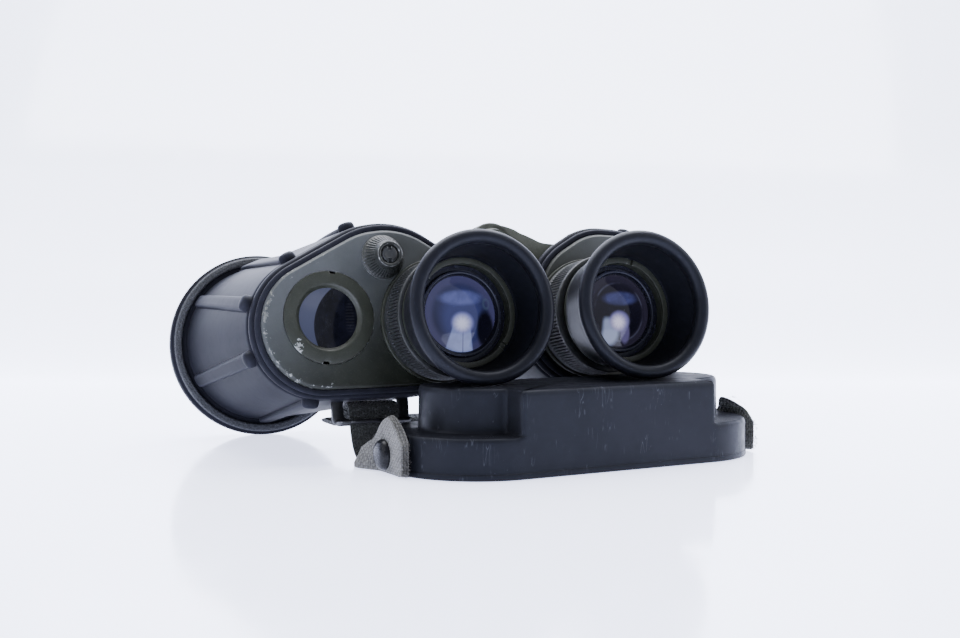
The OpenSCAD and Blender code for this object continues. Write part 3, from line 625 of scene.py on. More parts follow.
def convexity(me, passes=1):
    """Stores how convex the surface is at each vertex, for the wear and the painted highlights on edges."""
    n = len(me.vertices)
    co, no = np.empty(n * 3), np.empty(n * 3)
    me.vertices.foreach_get("co", co)
    me.vertices.foreach_get("normal", no)
    co, no = co.reshape(-1, 3), no.reshape(-1, 3)
    e = np.empty(len(me.edges) * 2, np.int32)
    me.edges.foreach_get("vertices", e)
    e = e.reshape(-1, 2)
    d = co[e[:, 1]] - co[e[:, 0]]
    d /= np.maximum(np.linalg.norm(d, axis=1, keepdims=True), 1e-9)
    s, c = np.zeros(n), np.zeros(n)
    np.add.at(s, e[:, 0], -(d * no[e[:, 0]]).sum(1))
    np.add.at(s, e[:, 1], (d * no[e[:, 1]]).sum(1))
    np.add.at(c, e.reshape(-1), 1)
    v = s / np.maximum(c, 1)
    for _ in range(passes):
        s = v * 2
        np.add.at(s, e[:, 0], v[e[:, 1]])
        np.add.at(s, e[:, 1], v[e[:, 0]])
        v = s / (c + 2)
    a = me.attributes.get("edge") or me.attributes.new("edge", "FLOAT", "POINT")
    a.data.foreach_set("value", v)


def soften(points, radius=0.3, closed=True, steps=3):
    """Rounds the corners of a profile; a point may carry its own radius as a third number."""
    pts = [np.array(p[:2], float) for p in points]
    rad = [p[2] if len(p) > 2 else radius for p in points]
    out, n = [], len(pts)
    for i, p in enumerate(pts):
        if not closed and i in (0, n - 1) or rad[i] <= 0:
            out.append(p)
            continue
        a, b = pts[i - 1] - p, pts[(i + 1) % n] - p
        la, lb = np.linalg.norm(a), np.linalg.norm(b)
        da, db = min(rad[i], 0.42 * la), min(rad[i], 0.42 * lb)
        pa, pb = p + a / la * da, p + b / lb * db
        for s in range(steps + 1):
            t = s / steps
            out.append(pa * (1 - t) ** 2 + p * 2 * t * (1 - t) + pb * t * t)
    return np.array(out)


def turned(profile, cx, cz, side, n=160, fn=None):
    """Rows of a part turned about an axis along the optical direction; fn may shift (r, y) by angle."""
    ph = np.arange(n) * 2 * math.pi / n
    r = np.repeat(profile[:, :1], n, 1)
    y = np.repeat(profile[:, 1:2], n, 1)
    if fn is not None:
        r, y = fn(r, y, np.broadcast_to(ph, r.shape))
    v = np.stack([cx + r * np.cos(ph), y, cz + r * np.sin(ph)], -1)
    return place(v, side)


def lathe(name, profile, cx, cz, side, mats, body, slot, replaces, n=160, radius=0.3, closed=True, fn=None,
        mat=0, angle=32, passes=1):
    s = Shape()
    p = soften(profile, radius, closed) if radius else np.array([q[:2] for q in profile], float)
    s.grid(turned(p, cx, cz, side, n, fn), close_rows=closed, mat=mat)
    return s.make(name, mats, body, slot, replaces, angle, edge_passes=passes)


# ---------------------------------------------------------------- barrel surface
TH = np.linspace(0, 2 * math.pi, 720, endpoint=False)
NT = np.stack([np.cos(TH), np.sin(TH)])
REAR = {"left": [(74.4, -1.3, 25.2), (49.6, 5.0, 31.4), (31.0, 0.0, 26.0)],
        "right": [(39.5, 9.7, 26.4), (34.6, 6.8, 26.4), (43.2, 9.5, 26.4), (49.3, 2.9, 26.4),
        (48.0, -1.0, 25.4), (31.0, 0.0, 26.0)]}
MIDC = {"left": [(50.6, 4.5, 29.0), (32.5, 0.0, 23.4)], "right": [(32.5, 0.0, 23.4)]}
FRONT = [(WX, WZ, 31.2)]
START = {"left": 54.0, "right": 45.0}


def support(circles):
    return np.max([cx * NT[0] + cz * NT[1] + r for cx, cz, r in circles], axis=0)


KEYSETS = {t: [(38.0, support(REAR[t])), (47.5, support(REAR[t])), (84.0, support(MIDC[t])),
    (86.0, support(MIDC[t])), (127.8, support(FRONT)), (131.0, support(FRONT))] for t in REAR}
KEYS = list(KEYSETS["left"])
NOW = {"x": START["left"]}


def section(y):
    """Support function of the barrel's outline at y, the hull of its rear, middle and front circles."""
    best = None
    for i, (ya, ha) in enumerate(KEYS):
        for yb, hb in KEYS[i + 1:]:
            if ya <= y <= yb:
                h = ha + (hb - ha) * (y - ya) / (yb - ya)
                best = h if best is None else np.maximum(best, h)
    return best


def smooth_section(y):
    if 46.0 < y < 126:
        return sum(section(y + d) for d in (-3.0, -1.5, 0, 1.5, 3.0)) / 5
    return section(y)


def centre(y):
    t = min(max((y - 46) / 80, 0), 1)
    t = t * t * (3 - 2 * t)
    return np.array([NOW["x"] + (WX - NOW["x"]) * t, 2.2 + (WZ - 2.2) * t])


def polar(h, c, phi, off=0.0):
    g = h - c[0] * NT[0] - c[1] * NT[1] + off
    cs = np.cos(TH[None, :] - phi[:, None])
    r = np.where(cs > 0.08, g[None, :] / np.maximum(cs, 0.08), 1e9).min(1)
    return r


PHI = np.linspace(0, 2 * math.pi, 320, endpoint=False)


def barrel_row(y, off, phi=PHI, smooth=True):
    c = centre(y)
    r = polar(smooth_section(y) if smooth else section(y), c, phi, off)
    return np.stack([c[0] + r * np.cos(phi), np.full_like(phi, y), c[1] + r * np.sin(phi)], -1)


def circle_row(y, r, phi=PHI):
    return np.stack([WX + r * np.cos(phi), np.full_like(phi, y), WZ + r * np.sin(phi)], -1)


def outline_row(y, off, c, phi):
    r = polar(section(44.0), c, phi, off)
    return np.stack([c[0] + r * np.cos(phi), np.full_like(phi, y), c[1] + r * np.sin(phi)], -1)


def on_barrel(x, y, z, off=0.0):
    """Nearest point of the armour on the ray from the barrel's middle line, and the normal there."""
    def at(phi, yy):
        c = centre(yy)
        r = polar(smooth_section(yy), c, np.array([phi]), off)[0]
        return np.array([c[0] + r * math.cos(phi), yy, c[1] + r * math.sin(phi)])
    c = centre(y)
    phi = math.atan2(z - c[1], x - c[0])
    p = at(phi, y)
    n = np.cross(at(phi + 0.02, y) - at(phi - 0.02, y), at(phi, y + 0.8) - at(phi, y - 0.8))
    n /= np.linalg.norm(n)
    if n[0] * math.cos(phi) + n[2] * math.sin(phi) < 0:
        n = -n
    return p, n


RIBS = {"left": [(22, 33, 74.4, -1.3, 24.2), (-23, -28, 74.4, -1.3, 24.2), (72, 78, 74.4, -1.3, 25.5),
    (-85, -87, 74.4, -1.3, 24.2), (69, 114, 49.6, 5.0, 30.4)],
        "right": [(18, 33, 49.3, 2.9, 25.4), (-25, -28, 48.0, -1.0, 24.4), (62, 72, 43.2, 9.5, 25.4),
        (-85, -87, 48.0, -1.0, 24.4)]}


def add_rib(s, side, rib):
    ar, af, cx, cz, r = rib
    p = np.array([cx + r * math.cos(math.radians(ar)), 51.5, cz + r * math.sin(math.radians(ar))])
    q = np.array([WX + 30.2 * math.cos(math.radians(af)), 124.5, WZ + 30.2 * math.sin(math.radians(af))])
    w, high = 2.8, 1.6
    d = q - p
    length = np.linalg.norm(d)
    d /= length
    us = [-w + x for x in (0.0, 0.06, 0.25, 0.6, 1.1, 1.8)] + list(np.linspace(0, length, 34)) + [length
        + w - x for x in (1.8, 1.1, 0.6, 0.25, 0.06, 0.0)]
    ss = [-1.05, -1.0, -0.95, -0.86, -0.7, -0.35, 0, 0.35, 0.7, 0.86, 0.95, 1.0, 1.05]
    rows = []
    for u in us:
        beyond = -u if u < 0 else max(0.0, u - length)
        wid = math.sqrt(max(w * w - beyond * beyond, 0.0004))
        c = p + d * u
        cc, nn = on_barrel(*c)
        side_dir = np.cross(d, nn)
        side_dir /= np.linalg.norm(side_dir)
        row = []
        for k in ss:
            v = k * wid
            inside = w - math.sqrt(beyond ** 2 + v * v)
            x = min(max((inside + 0.12) / 1.05, 0.0), 1.0)
            h = high * (1 - (1 - x) ** 2.6) if inside > -0.1 else -0.7
            pt, nt = on_barrel(*(cc + side_dir * v))
            row.append(pt + nt * h)
        rows.append(row)
    s.grid(place(np.array(rows), side), close_rows=False, close_cols=False)
    # domed boss at the rear end
    b = np.array([cx + r * math.cos(math.radians(ar)), 49.6, cz + r * math.sin(math.radians(ar))])
    bc, bn = on_barrel(*b)
    t1 = np.cross(bn, [0, 1, 0])
    t1 /= np.linalg.norm(t1)
    t2 = np.cross(bn, t1)
    prof = [(3.15, -0.8), (3.1, 0.6), (3.0, 1.5), (2.75, 2.1), (2.3, 2.5), (1.6, 2.75), (0.8, 2.85),
        (0.0, 2.88)]
    rows = [[bc + t1 * pr * math.cos(a) + t2 * pr * math.sin(a) + bn * ph for a in np.linspace(0,
        2 * math.pi, 28, endpoint=False)] for pr, ph in prof]
    s.grid(place(np.array(rows), side), close_rows=False)


def cut_box(o, side, x, y, z, name):
    """Takes a box of the level frame out of the piece."""
    c = np.array([[a, b, d] for a in x for b in y for d in z], float)
    me = bpy.data.meshes.new(name)
    me.from_pydata(place(c, side).tolist(), [], [(0, 1, 3, 2), (4, 6, 7, 5), (0, 4, 5, 1), (2, 3, 7, 6),
        (0, 2, 6, 4), (1, 5, 7, 3)])
    bm = bmesh.new()
    bm.from_mesh(me)
    bmesh.ops.recalc_face_normals(bm, faces=bm.faces)
    bm.to_mesh(me)
    bm.free()
    cutter = bpy.data.objects.new(name, me)
    scene.collection.objects.link(cutter)
    mod = o.modifiers.new("cut", "BOOLEAN")
    mod.operation, mod.solver, mod.object = "DIFFERENCE", "EXACT", cutter
    dg = bpy.context.evaluated_depsgraph_get()
    new = bpy.data.meshes.new_from_object(o.evaluated_get(dg))
    o.modifiers.clear()
    old = o.data
    o.data = new
    bpy.data.meshes.remove(old)
    bpy.data.objects.remove(cutter)
    bpy.data.meshes.remove(me)


for side, tag in ((LEFT, "left"), (RIGHT, "right")):
    body = "barrel_" + tag
    KEYS[:] = KEYSETS[tag]
    NOW["x"] = START[tag]
    armx = 36.0 if side < 0 else 29.5
    out = 0.0 if side < 0 else 2.4      # how far this ocular stands turned out
    rear = [(60, -2.2), (43.1, -2.2), (43.02, -3.12), (41.0, -3.16), (40.35, -3.1), (40.05, -2.85),
        (39.92, -2.4), (39.95, -1.9), (40.15, -1.45), (40.5, -1.16), (41.0, -1.08), (41.5, -1.16),
            (41.85, -1.42), (42.1, -1.55), (42.3, -1.2), (42.6, -0.55), (43.1, -0.14), (43.8, 0.0),
            (44.6, 0.0), (45.3, -0.14), (45.75, -0.5), (46.0, -0.72), (46.3, -0.7), (46.6, -0.4),
            (47.1, -0.1), (47.8, 0.0)]
    rows = [barrel_row(y, off, smooth=False) for y, off in rear]
    rows += [barrel_row(y, 0.0) for y in np.arange(49.2, 126.2, 1.6)]
    front = [(31.2, 127.4), (31.15, 129.0), (31.15, 130.7), (31.3, 131.1), (31.7, 131.3), (32.5, 131.3),
        (32.9, 131.1), (33.1, 130.6), (33.3, 130.1), (33.6, 129.86), (34.0, 129.8), (34.7, 129.8),
        (35.4, 129.8), (35.75, 129.9), (36.0, 130.2), (36.15, 130.8),
             (36.3, 131.3), (36.6, 131.6), (37.0, 131.8), (37.3, 132.1), (37.4, 132.6), (37.4, 133.4),
             (37.35, 134.4), (37.1, 136.4), (36.7, 138.4), (36.3, 139.8), (36.0, 140.5), (35.4, 140.9),
             (34.8, 141.0), (33.4, 141.0), (32.2, 141.0), (31.4, 140.8), (30.8, 140.2), (30.5, 139.4),
             (30.3, 138.5), (30.0, 138.35), (28.72, 138.3), (28.72, 133), (28.72, 129.4)]
    nb = len(rows)
    rows += [circle_row(y, r) for r, y in front]
    rows += [barrel_row(y, -2.2, smooth=False) for y in (127.0, 106, 86, 72)]
    mats = [0] * len(rows)
    for i in range(nb + 7, nb + 15):
        mats[i] = 1
    s = Shape()
    s.grid(place(np.array(rows), side), mat=mats)
    s.make("armour_skin_" + tag, [M["armour"], M["bumper"]], body, "armour", "armour_" + tag,
                     modify=lambda o, sd=side: cut_box(o, sd, (-12, 36.0 if sd < 0 else 29.5), (46, 106),
                     (11, 51), "cutter"))
    s = Shape()
    for rib in RIBS[tag]:
        add_rib(s, side, rib)
    s.make("armour_ribs_" + tag, [M["armour"]], body, "armour", angle=50)

    # housing shell with its hinge arms
    s = Shape()
    ph = np.linspace(0, 2 * math.pi, 160, endpoint=False)
    rows = [barrel_row(y, -2.32, ph, False) for y in list(np.arange(43.2, 127, 5.2))] + [
        circle_row(y, r, ph) for r, y in ((28.66, 128.4), (28.66, 138.2), (28.5, 138.35), (26.4, 138.35),
        (26.25, 138.2), (26.25, 128.6))] + [barrel_row(y, -4.7, ph, False) for y in (126, 106, 86, 66, 43.2)]
    s.grid(place(np.array(rows), side))

    def extrude(s, poly, y0, y1, bevel):
        c = np.roll(poly, -1, 0) - np.roll(poly, 1, 0)
        nrm = np.stack([c[:, 1], -c[:, 0]], -1)
        nrm /= np.linalg.norm(nrm, axis=1, keepdims=True)
        area = np.sum(poly[:, 0] * np.roll(poly[:, 1], -1) - np.roll(poly[:, 0], -1) * poly[:, 1])
        if area < 0:
            nrm = -nrm
        rows = []
        for y, off in ((y0, bevel), (y0 + 0.3 * bevel, 0.3 * bevel), (y0 + bevel, 0), (y1 - bevel, 0),
                (y1 - 0.3 * bevel, 0.3 * bevel), (y1, bevel)):
            q = poly - nrm * off
            rows.append(np.stack([q[:, 0], np.full(len(q), y), q[:, 1]], -1))
        s.grid(place(np.array(rows), side), close_rows=False, caps=(0, 1))

    arm_poly = soften([(0, 39.3), (5.5, 38.7), (10.2, 37.2), (12.3, 35.9), (15, 35.0), (21.5, 32.1),
        (28, 31.5), (armx - 0.15, 32.8 if side < 0 else 31.6), (armx - 0.15, 16), (24, 14), (12, 17),
        (4, 21.4), (0, 20.8)], 1.8, steps=4)
    for y0, y1 in (((64.1, 91.9),) if side < 0 else ((54.6, 64), (92, 104))):
        extrude(s, arm_poly, y0, y1, 0.7)
        kn = soften([(4.06, y0), (9.8, y0, 0.9), (9.8, y1, 0.9), (4.06, y1)], 0.3)
        s.grid(turned(kn, 0, HZ, side, 96))
    s.make("housing_arms_" + tag, [M["arm"]], body, "housing", "housing_" + tag, angle=40)

    # rear plate, laid out round the window axis
    s = Shape()
    c = np.array([WX, WZ]) if side < 0 else np.array([60.0, WZ])
    hole = 16.47 if side < 0 else 0.6
    ph = np.linspace(0, 2 * math.pi, 288, endpoint=False)
    ring = lambda r, y: np.stack([c[0] + r * np.cos(ph), np.full_like(ph, y), c[1] + r * np.sin(ph)], -1)
    rows, rim = [ring(hole, 41.7), ring(hole, 39.1), ring(hole + 0.08, 38.86), ring(hole + 0.33, 38.8)], [0,
        0, 0, 0]
    a, b = ring(hole + 0.33, 38.8), outline_row(38.8, -4.6, c, ph)
    dist = np.linalg.norm(b - a, axis=1, keepdims=True)
    for t in np.linspace(0, 1, 16)[1:]:
        rows.append(a + (b - a) * t)
        rim.append(np.maximum(0, 1 - dist[:, 0] * (1 - t) / 4.0))
    for y, off in ((38.82, -4.3), (38.92, -4.05), (39.12, -3.85), (39.4, -3.72), (39.55, -3.5),
            (39.75, -3.32), (40.1, -3.24), (41, -3.22), (42.9, -3.22), (42.95, -3.5), (42.95, -7.4)):
        rows.append(outline_row(y, off, c, ph))
        rim.append(1.0)
    rows.append(ring(hole + 0.73, 42.95))
    rim.append(0)
    ext = np.concatenate([np.full(len(ph), q) if np.isscalar(q) else q for q in rim])
    s.grid(place(np.array(rows), side), extra=ext)
    s.make("rear_plate_skin_" + tag, [M["plate"]], body, "plate", "rear_plate_" + tag, angle=34,
        extra_name="rim")

    # focus collar and ring
    lathe("collar_" + tag, [(19.46, 24), (19.46, 37.05, 0.1), (22.7, 37.1), (22.7, 38.77), (17.97, 38.77),
        (17.97, 24)], EX, 0, side, [M["ring"]], body, "plate", "focus_collar_" + tag)

    def knurl(r, y, ph):
        x = (ph * 110 / (2 * math.pi)) % 1.0
        bump = np.clip(np.sin(math.pi * x), 0, 1) ** 0.7
        m = np.clip((y - 23.9) / 0.7, 0, 1) * np.clip((34.3 - y) / 0.7, 0, 1) * (r > 20.5)
        return r - m * (0.75 - 0.75 * bump), y

    prof = [(19.56, 22.5), (19.75, 22.3), (21.6, 22.3), (21.9, 22.45), (22.0, 22.75), (22.0, 23.6),
        (21.95, 23.9), (21.95, 24.3), (21.95, 24.7)] + [(21.95, q) for q in (26, 28, 30, 32)] + [
        (21.95, 33.5), (21.95, 33.9), (21.95, 34.3), (22.0, 34.6), (22.0, 36.4), (21.9, 36.75),
        (21.6, 36.9), (19.75, 36.9), (19.56, 36.7)]
    lathe("focus_grip_" + tag, prof, EX, 0, side, [M["focus"]], "focus_ring_" + tag, "black_metal",
        "focus_ring_" + tag, n=880, radius=0, fn=knurl, angle=60)

    # ocular tube, eyecup, keeper ring, bezel, lens
    ob = "ocular_" + tag
    at = lambda prof: [(q[0], q[1] - out) + tuple(q[2:]) for q in prof]
    lathe("ocular_barrel_" + tag, at([(17.9, 42), (17.9, 22.1), (20.7, 22.05), (20.7, 20.0), (19.42, 19.98),
        (19.42, 17.0), (17.35, 17.0), (17.35, 22.55), (14.55, 22.6), (14.55, 42)]), EX, 0, side,
        [M["ring"]], ob, "plate", "ocular_tube_" + tag)
    lip = [(24.1 + 2.5 * math.cos(math.radians(q)), -2.5 * math.sin(math.radians(q))) for q in range(-38,
        204, 11)]
    prof = [(19.5, 19.96), (20.8, 19.96), (21.05, 19.8), (21.2, 19.3), (21.5, 17.9), (22.05, 15.2),
        (22.8, 12), (23.6, 8.8), (24.5, 5.6), (25.2, 3.4), (25.75, 2.2)] + lip + [(21.95, 1.7),
        (22.15, 2.5), (22.0, 3.8), (21.7, 5.6), (21.2, 8.4), (20.65, 11.4), (20.2, 13.8), (19.95, 14.9),
        (19.7, 15.3), (19.5, 15.45), (19.46, 17)]
    lathe("eyecup_rubber_" + tag, at(prof), EX, 0, side, [M["eyecup"]], ob, "eyecup", "eyecup_" + tag,
        n=220, radius=0, angle=55, passes=2)

    slots = (40, 220) if side < 0 else (75, 258)

    def slotted(r, y, ph, slots=slots, edge=16.5 - out):
        cut = np.zeros_like(r)
        for a in slots:
            d = (ph - math.radians(a) + math.pi) % (2 * math.pi) - math.pi
            cut = np.maximum(cut, (np.abs(d) < math.radians(3.2)).astype(float))
        return r, np.where((cut > 0) & (y < edge), y + 0.95, y)

    lathe("keeper_" + tag, at([(19.38, 16.97), (19.38, 15.5), (17.32, 15.5), (17.32, 16.97)]), EX, 0, side,
        [M["ring"]], ob, "plate", "keeper_ring_" + tag, n=288, radius=0.22, fn=slotted)
    lathe("lens_bezel_" + tag, at([(15.08, 19.6), (15.08, 17.92, 0.35), (14.2, 17.92, 0.3), (13.42, 19.0),
        (13.4, 19.9), (13.88, 19.95), (13.88, 22.5), (17.22, 22.5), (17.22, 19.42, 0.3), (15.5, 19.42)]),
        EX, 0, side, [M["bezel"]], ob, "bezel", "bezel_" + tag)
    prof = [(0, 18.42), (2, 18.44), (4, 18.52), (6, 18.68), (8, 18.95), (10, 19.32), (11.6, 19.62),
        (13.35, 19.9), (13.85, 19.93), (13.85, 22.48), (0, 22.48)]
    lathe("eye_glass_" + tag, at(prof), EX, 0, side, [M["eye_" + tag]], ob, "glass_coated",
        "eye_lens_" + tag, n=128, radius=0, closed=False, angle=40)

    # objective end
    lathe("objective_ring_" + tag, [(26.2, 126.7), (26.2, 138), (25.9, 138.15), (25.2, 138), (25.0, 137.2),
        (24.8, 137), (24.75, 136.2), (24.6, 136), (24.55, 135.2), (24.4, 135), (24.35, 133.8),
        (25.15, 133.4), (25.15, 128.65), (24.0, 128.6), (24.0, 126.7)], WX, WZ, side, [M["black_metal"]],
        body, "black_metal", "objective_cell_" + tag, radius=0.12)
    prof = [(0, 128.62), (24, 128.62), (25.05, 128.7), (25.05, 131.5), (24.4, 131.8), (22, 132.35),
        (19, 133.0), (15, 133.65), (11, 134.15), (7, 134.55), (3.5, 134.75), (0, 134.8)]
    lathe("objective_glass_" + tag, prof, WX, WZ, side, [M["front_glass"]], body, "glass_coated",
        "objective_lens_" + tag, n=128, radius=0, closed=False, angle=40)

    # strap lug: a rounded frame round its slot
    s = Shape()

    def frame_poly(x0, x1, z0, z1, r, n=7):
        out = []
        for cx, cz, a0 in ((x1 - r, z1 - r, 0), (x0 + r, z1 - r, 90), (x0 + r, z0 + r, 180),
                (x1 - r, z0 + r, 270)):
            for q in range(n):
                a = math.radians(a0 + 90 * q / (n - 1))
                out.append((cx + r * math.cos(a), cz + r * math.sin(a), math.cos(a), math.sin(a)))
        return np.array(out)

    lx = 0.0 if side < 0 else -5.0
    po, pi = frame_poly(37.6 + lx, 67.4 + lx, -36, -23.9, 3.2), frame_poly(41.9 + lx, 63.1 + lx, -33.4,
        -26.4, 1.8)
    rows = []
    for poly, sign, seq in ((po, -1, ((56.6, 0.5), (56.75, 0.15), (57.1, 0), (58.3, 0), (58.65, 0.15),
            (58.8, 0.5))), (pi, 1, ((58.8, 0.5), (58.65, 0.15), (58.3, 0), (57.1, 0), (56.75, 0.15),
            (56.6, 0.5)))):
        for y, off in seq:
            rows.append(np.stack([poly[:, 0] + sign * off * poly[:, 2], np.full(len(poly), y),
                poly[:, 1] + sign * off * poly[:, 3]], -1))
    s.grid(place(np.array(rows), side))
    if side < 0:
        wire = [(39.4, 57.0, -34.7), (39.4, 54.6, -34.7), (39.4, 52.6, -34.7), (39.65, 51.7, -34.7),
            (40.5, 51.4, -34.7)]
        wire = wire + [(105.0 - x, y, z) for x, y, z in wire[::-1]]
        rows = []
        for i, q in enumerate(wire):
            d = np.array(wire[min(i + 1, len(wire) - 1)], float) - np.array(wire[max(i - 1, 0)], float)
            d /= np.linalg.norm(d)
            a = np.cross(d, (0, 0, 1.0))
            rows.append([np.array(q) + (lx, 0, 0) + 0.78 * (a * math.cos(t) + np.array((0, 0, 1.0))
                * math.sin(t)) for t in np.linspace(0, 2 * math.pi, 20, endpoint=False)])
        s.grid(place(np.array(rows), side), close_rows=False, caps=(0, 1))
    s.make("lug_frame_" + tag, [M["black_metal"]], body, "black_metal", "strap_lug_" + tag)

# window ring and its glass, left only; a blank ring on the right


def notched(r, y, ph):
    cut = np.zeros_like(r)
    for a in (97, 277):
        d = (ph - math.radians(a) + math.pi) % (2 * math.pi) - math.pi
        cut = np.maximum(cut, (np.abs(d) < math.radians(3.3)).astype(float))
    return np.where((cut > 0) & (r > 15.9), r - 0.9, r), y


lathe("window_bezel", [(16.44, 41.35), (16.44, 38.56, 0.25), (12.0, 38.56, 0.2), (11.35, 38.95, 0.2),
    (10.95, 39.55, 0.2), (10.62, 39.9, 0.2), (10.62, 41.35)], WX, WZ, LEFT, [M["window_ring"]],
    "barrel_left", "plate", "window_ring_left", n=288, fn=notched)
lathe("window_glass_left", [(0, 40.05), (4, 40.06), (8, 40.1), (11.5, 40.16), (11.5, 42.1), (0, 42.1)], WX,
    WZ, LEFT, [M["window"]], "barrel_left", "glass_coated", "window_pane_left", n=96, radius=0, closed=False)
lathe("blank_bezel", [(0, 38.6), (4.6, 38.6), (4.8, 38.72), (5.0, 38.6), (8.46, 38.58, 0.2), (8.46, 40.5),
    (0, 40.5)], 63.0, WZ, RIGHT, [M["ring"]], "barrel_right", "plate", "blank_ring_right", n=192,
    radius=0.1, closed=False)


def knob_ribs(r, y, ph):
    x = (ph * 40 / (2 * math.pi)) % 1.0
    m = np.clip((y - 33.0) / 0.5, 0, 1) * np.clip((37.9 - y) / 0.4, 0, 1) * (r > 4.6)
    return r - m * 0.34 * (1 - np.clip(np.sin(math.pi * x), 0, 1) ** 0.8), y


kp = [(2.0, 32.25), (3.2, 32.25), (3.38, 32.15), (3.4, 31.4), (3.45, 31.05), (3.6, 30.85), (3.85, 30.76),
    (4.3, 30.76), (4.55, 30.86), (4.7, 31.1), (4.8, 31.6), (5.0, 32.6), (5.2, 33.0), (5.42, 33.5)] + [
    (5.42 + 0.49 * q, 33.5 + q) for q in (1, 2, 3, 4)] + [(7.55, 37.7), (7.75, 37.95), (7.95, 38.15),
    (8.0, 38.45), (7.9, 38.72), (2.0, 38.72)]
lathe("filter_knob_grip", kp, KX, KZ, LEFT, [M["knob"]], "filter_knob", "plate", "filter_knob", n=320,
    radius=0, fn=knob_ribs, angle=50)


def screw_notch(r, y, ph):
    x = r * np.cos(ph)
    return r, np.where((np.abs(x) < 0.55) & (r > 1.5) & (r < 2.95) & (y < 31.9), y + 0.8, y)


lathe("knob_screw_head", [(0, 31.25), (0.6, 31.24), (1.45, 31.2), (1.6, 31.16), (1.9, 31.14), (2.3, 31.14),
    (2.6, 31.2), (2.75, 31.3), (2.86, 31.5), (2.88, 32.2), (0, 32.3)], KX, KZ, LEFT, [M["screw"]],
    "filter_knob", "steel", "knob_screw", n=96, radius=0, closed=False, fn=screw_notch)

# ---------------------------------------------------------------- rain guard


def guard_radius(phi, upper, grow=0.0):
    """Distance from the guard's middle to its outline in each direction."""
    out = []
    for a in phi:
        dx, dy = math.cos(a), math.sin(a)
        best = 0.0
        r = (20.2 if upper else 31.0) + grow
        hits = []
        for cx in (-39.5, 39.5):
            bq = dx * cx
            disc = bq * bq - (cx * cx - r * r)
            if disc >= 0:
                t = bq + math.sqrt(disc)
                hits.append((t, abs(t * dx) >= 39.5 and (t * dx) * cx > 0))
        for t, ok in hits:
            if ok:
                best = max(best, t)
        if abs(dy) > 1e-9:
            t = r / abs(dy)
            if abs(t * dx) <= 39.5:
                best = max(best, t)
        if upper:
            x1, y0, y1 = 40.0 + grow, -31.0 - grow, 11.5 + grow
            ts = []
            if abs(dx) > 1e-9:
                ts.append(x1 / abs(dx))
            if dy < -1e-9:
                ts.append(y0 / dy)
            if dy > 1e-9:
                ts.append(y1 / dy)
            best = max(best, min(ts))
            if dy > 1e-9:
                best = min(best, y1 / dy)
        out.append(best)
    return np.array(out)


def guard_angles():
    keys = [(-40, -31), (40, -31), (-40, -20.2), (40, -20.2), (-39.5, -31), (39.5, -31), (-39.5, 31),
        (39.5, 31), (-39.5, -20.2), (39.5, -20.2)]
    a = list(np.linspace(-math.pi, math.pi, 360, endpoint=False))
    for x, y in keys:
        k = math.atan2(y, x)
        a += [k + d for d in (-0.02, -0.012, -0.006, -0.002, 0.0, 0.002, 0.006, 0.012, 0.02)]
    k = math.atan2(11.5, 39.5 + math.sqrt(20.2 ** 2 - 11.5 ** 2))
    a += [q + d for q in (k, math.pi - k) for d in (-0.02, -0.01, -0.004, 0, 0.004, 0.01, 0.02)]
    a = np.array(sorted(set(round(q, 6) for q in a)))
    return a[np.concatenate([[True], np.diff(a) > 5e-4])]


GA = guard_angles()


def loop(phi, r):
    return np.stack([r * np.cos(phi), r * np.sin(phi)], -1)


def normals2(p, reach=1):
    t = np.roll(p, -reach, 0) - np.roll(p, reach, 0)
    n = np.stack([t[:, 1], -t[:, 0]], -1)
    return n / np.maximum(np.linalg.norm(n, axis=1, keepdims=True), 1e-9)


def relax(p, lam, times):
    """Rounds the corners of a closed outline by averaging, spaced evenly enough to keep its size."""
    for _ in range(times):
        p = p * (1 - lam) + (np.roll(p, 1, 0) + np.roll(p, -1, 0)) * lam / 2
    return p


def spaced(p, n):
    """The closed outline again with n points; the start stays."""
    q = np.concatenate([p, p[:1]])
    d = np.concatenate([[0], np.cumsum(np.linalg.norm(np.diff(q, axis=0), axis=1))])
    t = np.linspace(0, d[-1], n, endpoint=False)
    return np.stack([np.interp(t, d, q[:, 0]), np.interp(t, d, q[:, 1])], -1)


def rounded(p, radius):
    """Rounds corners to about the radius on an even outline, then samples it back at the fixed angles."""
    e = spaced(p, 1400)
    step = np.linalg.norm(e[1] - e[0])
    e = relax(e, 0.5, int((radius / step) ** 2 * 0.35) + 1)
    ang = np.unwrap(np.arctan2(e[:, 1], e[:, 0]))
    o = np.argsort(np.mod(ang + math.pi, 2 * math.pi))
    aa, rr = np.mod(ang + math.pi, 2 * math.pi)[o] - math.pi, np.linalg.norm(e, axis=1)[o]
    aa = np.concatenate([aa - 2 * math.pi, aa, aa + 2 * math.pi])
    rr = np.concatenate([rr, rr, rr])
    return loop(GA, np.interp(GA, aa, rr))


skirt = loop(GA, guard_radius(GA, False))
upper0 = loop(GA, guard_radius(GA, True))
upper = rounded(upper0, 2.6)
rs, ru = np.linalg.norm(skirt, axis=1), np.linalg.norm(upper, axis=1)
flush = np.clip((rs - ru) / 2.5, 0, 1)          # 0 where the block is flush with the skirt
low = skirt.copy()
ns, nu = normals2(skirt, 2), normals2(upper, 2)


def level(p, n, off, z):
    q = p - n * (off if np.isscalar(off) else off[:, None])
    return np.concatenate([q, np.full((len(q), 1), z) if np.isscalar(z) else z[:, None]], 1)


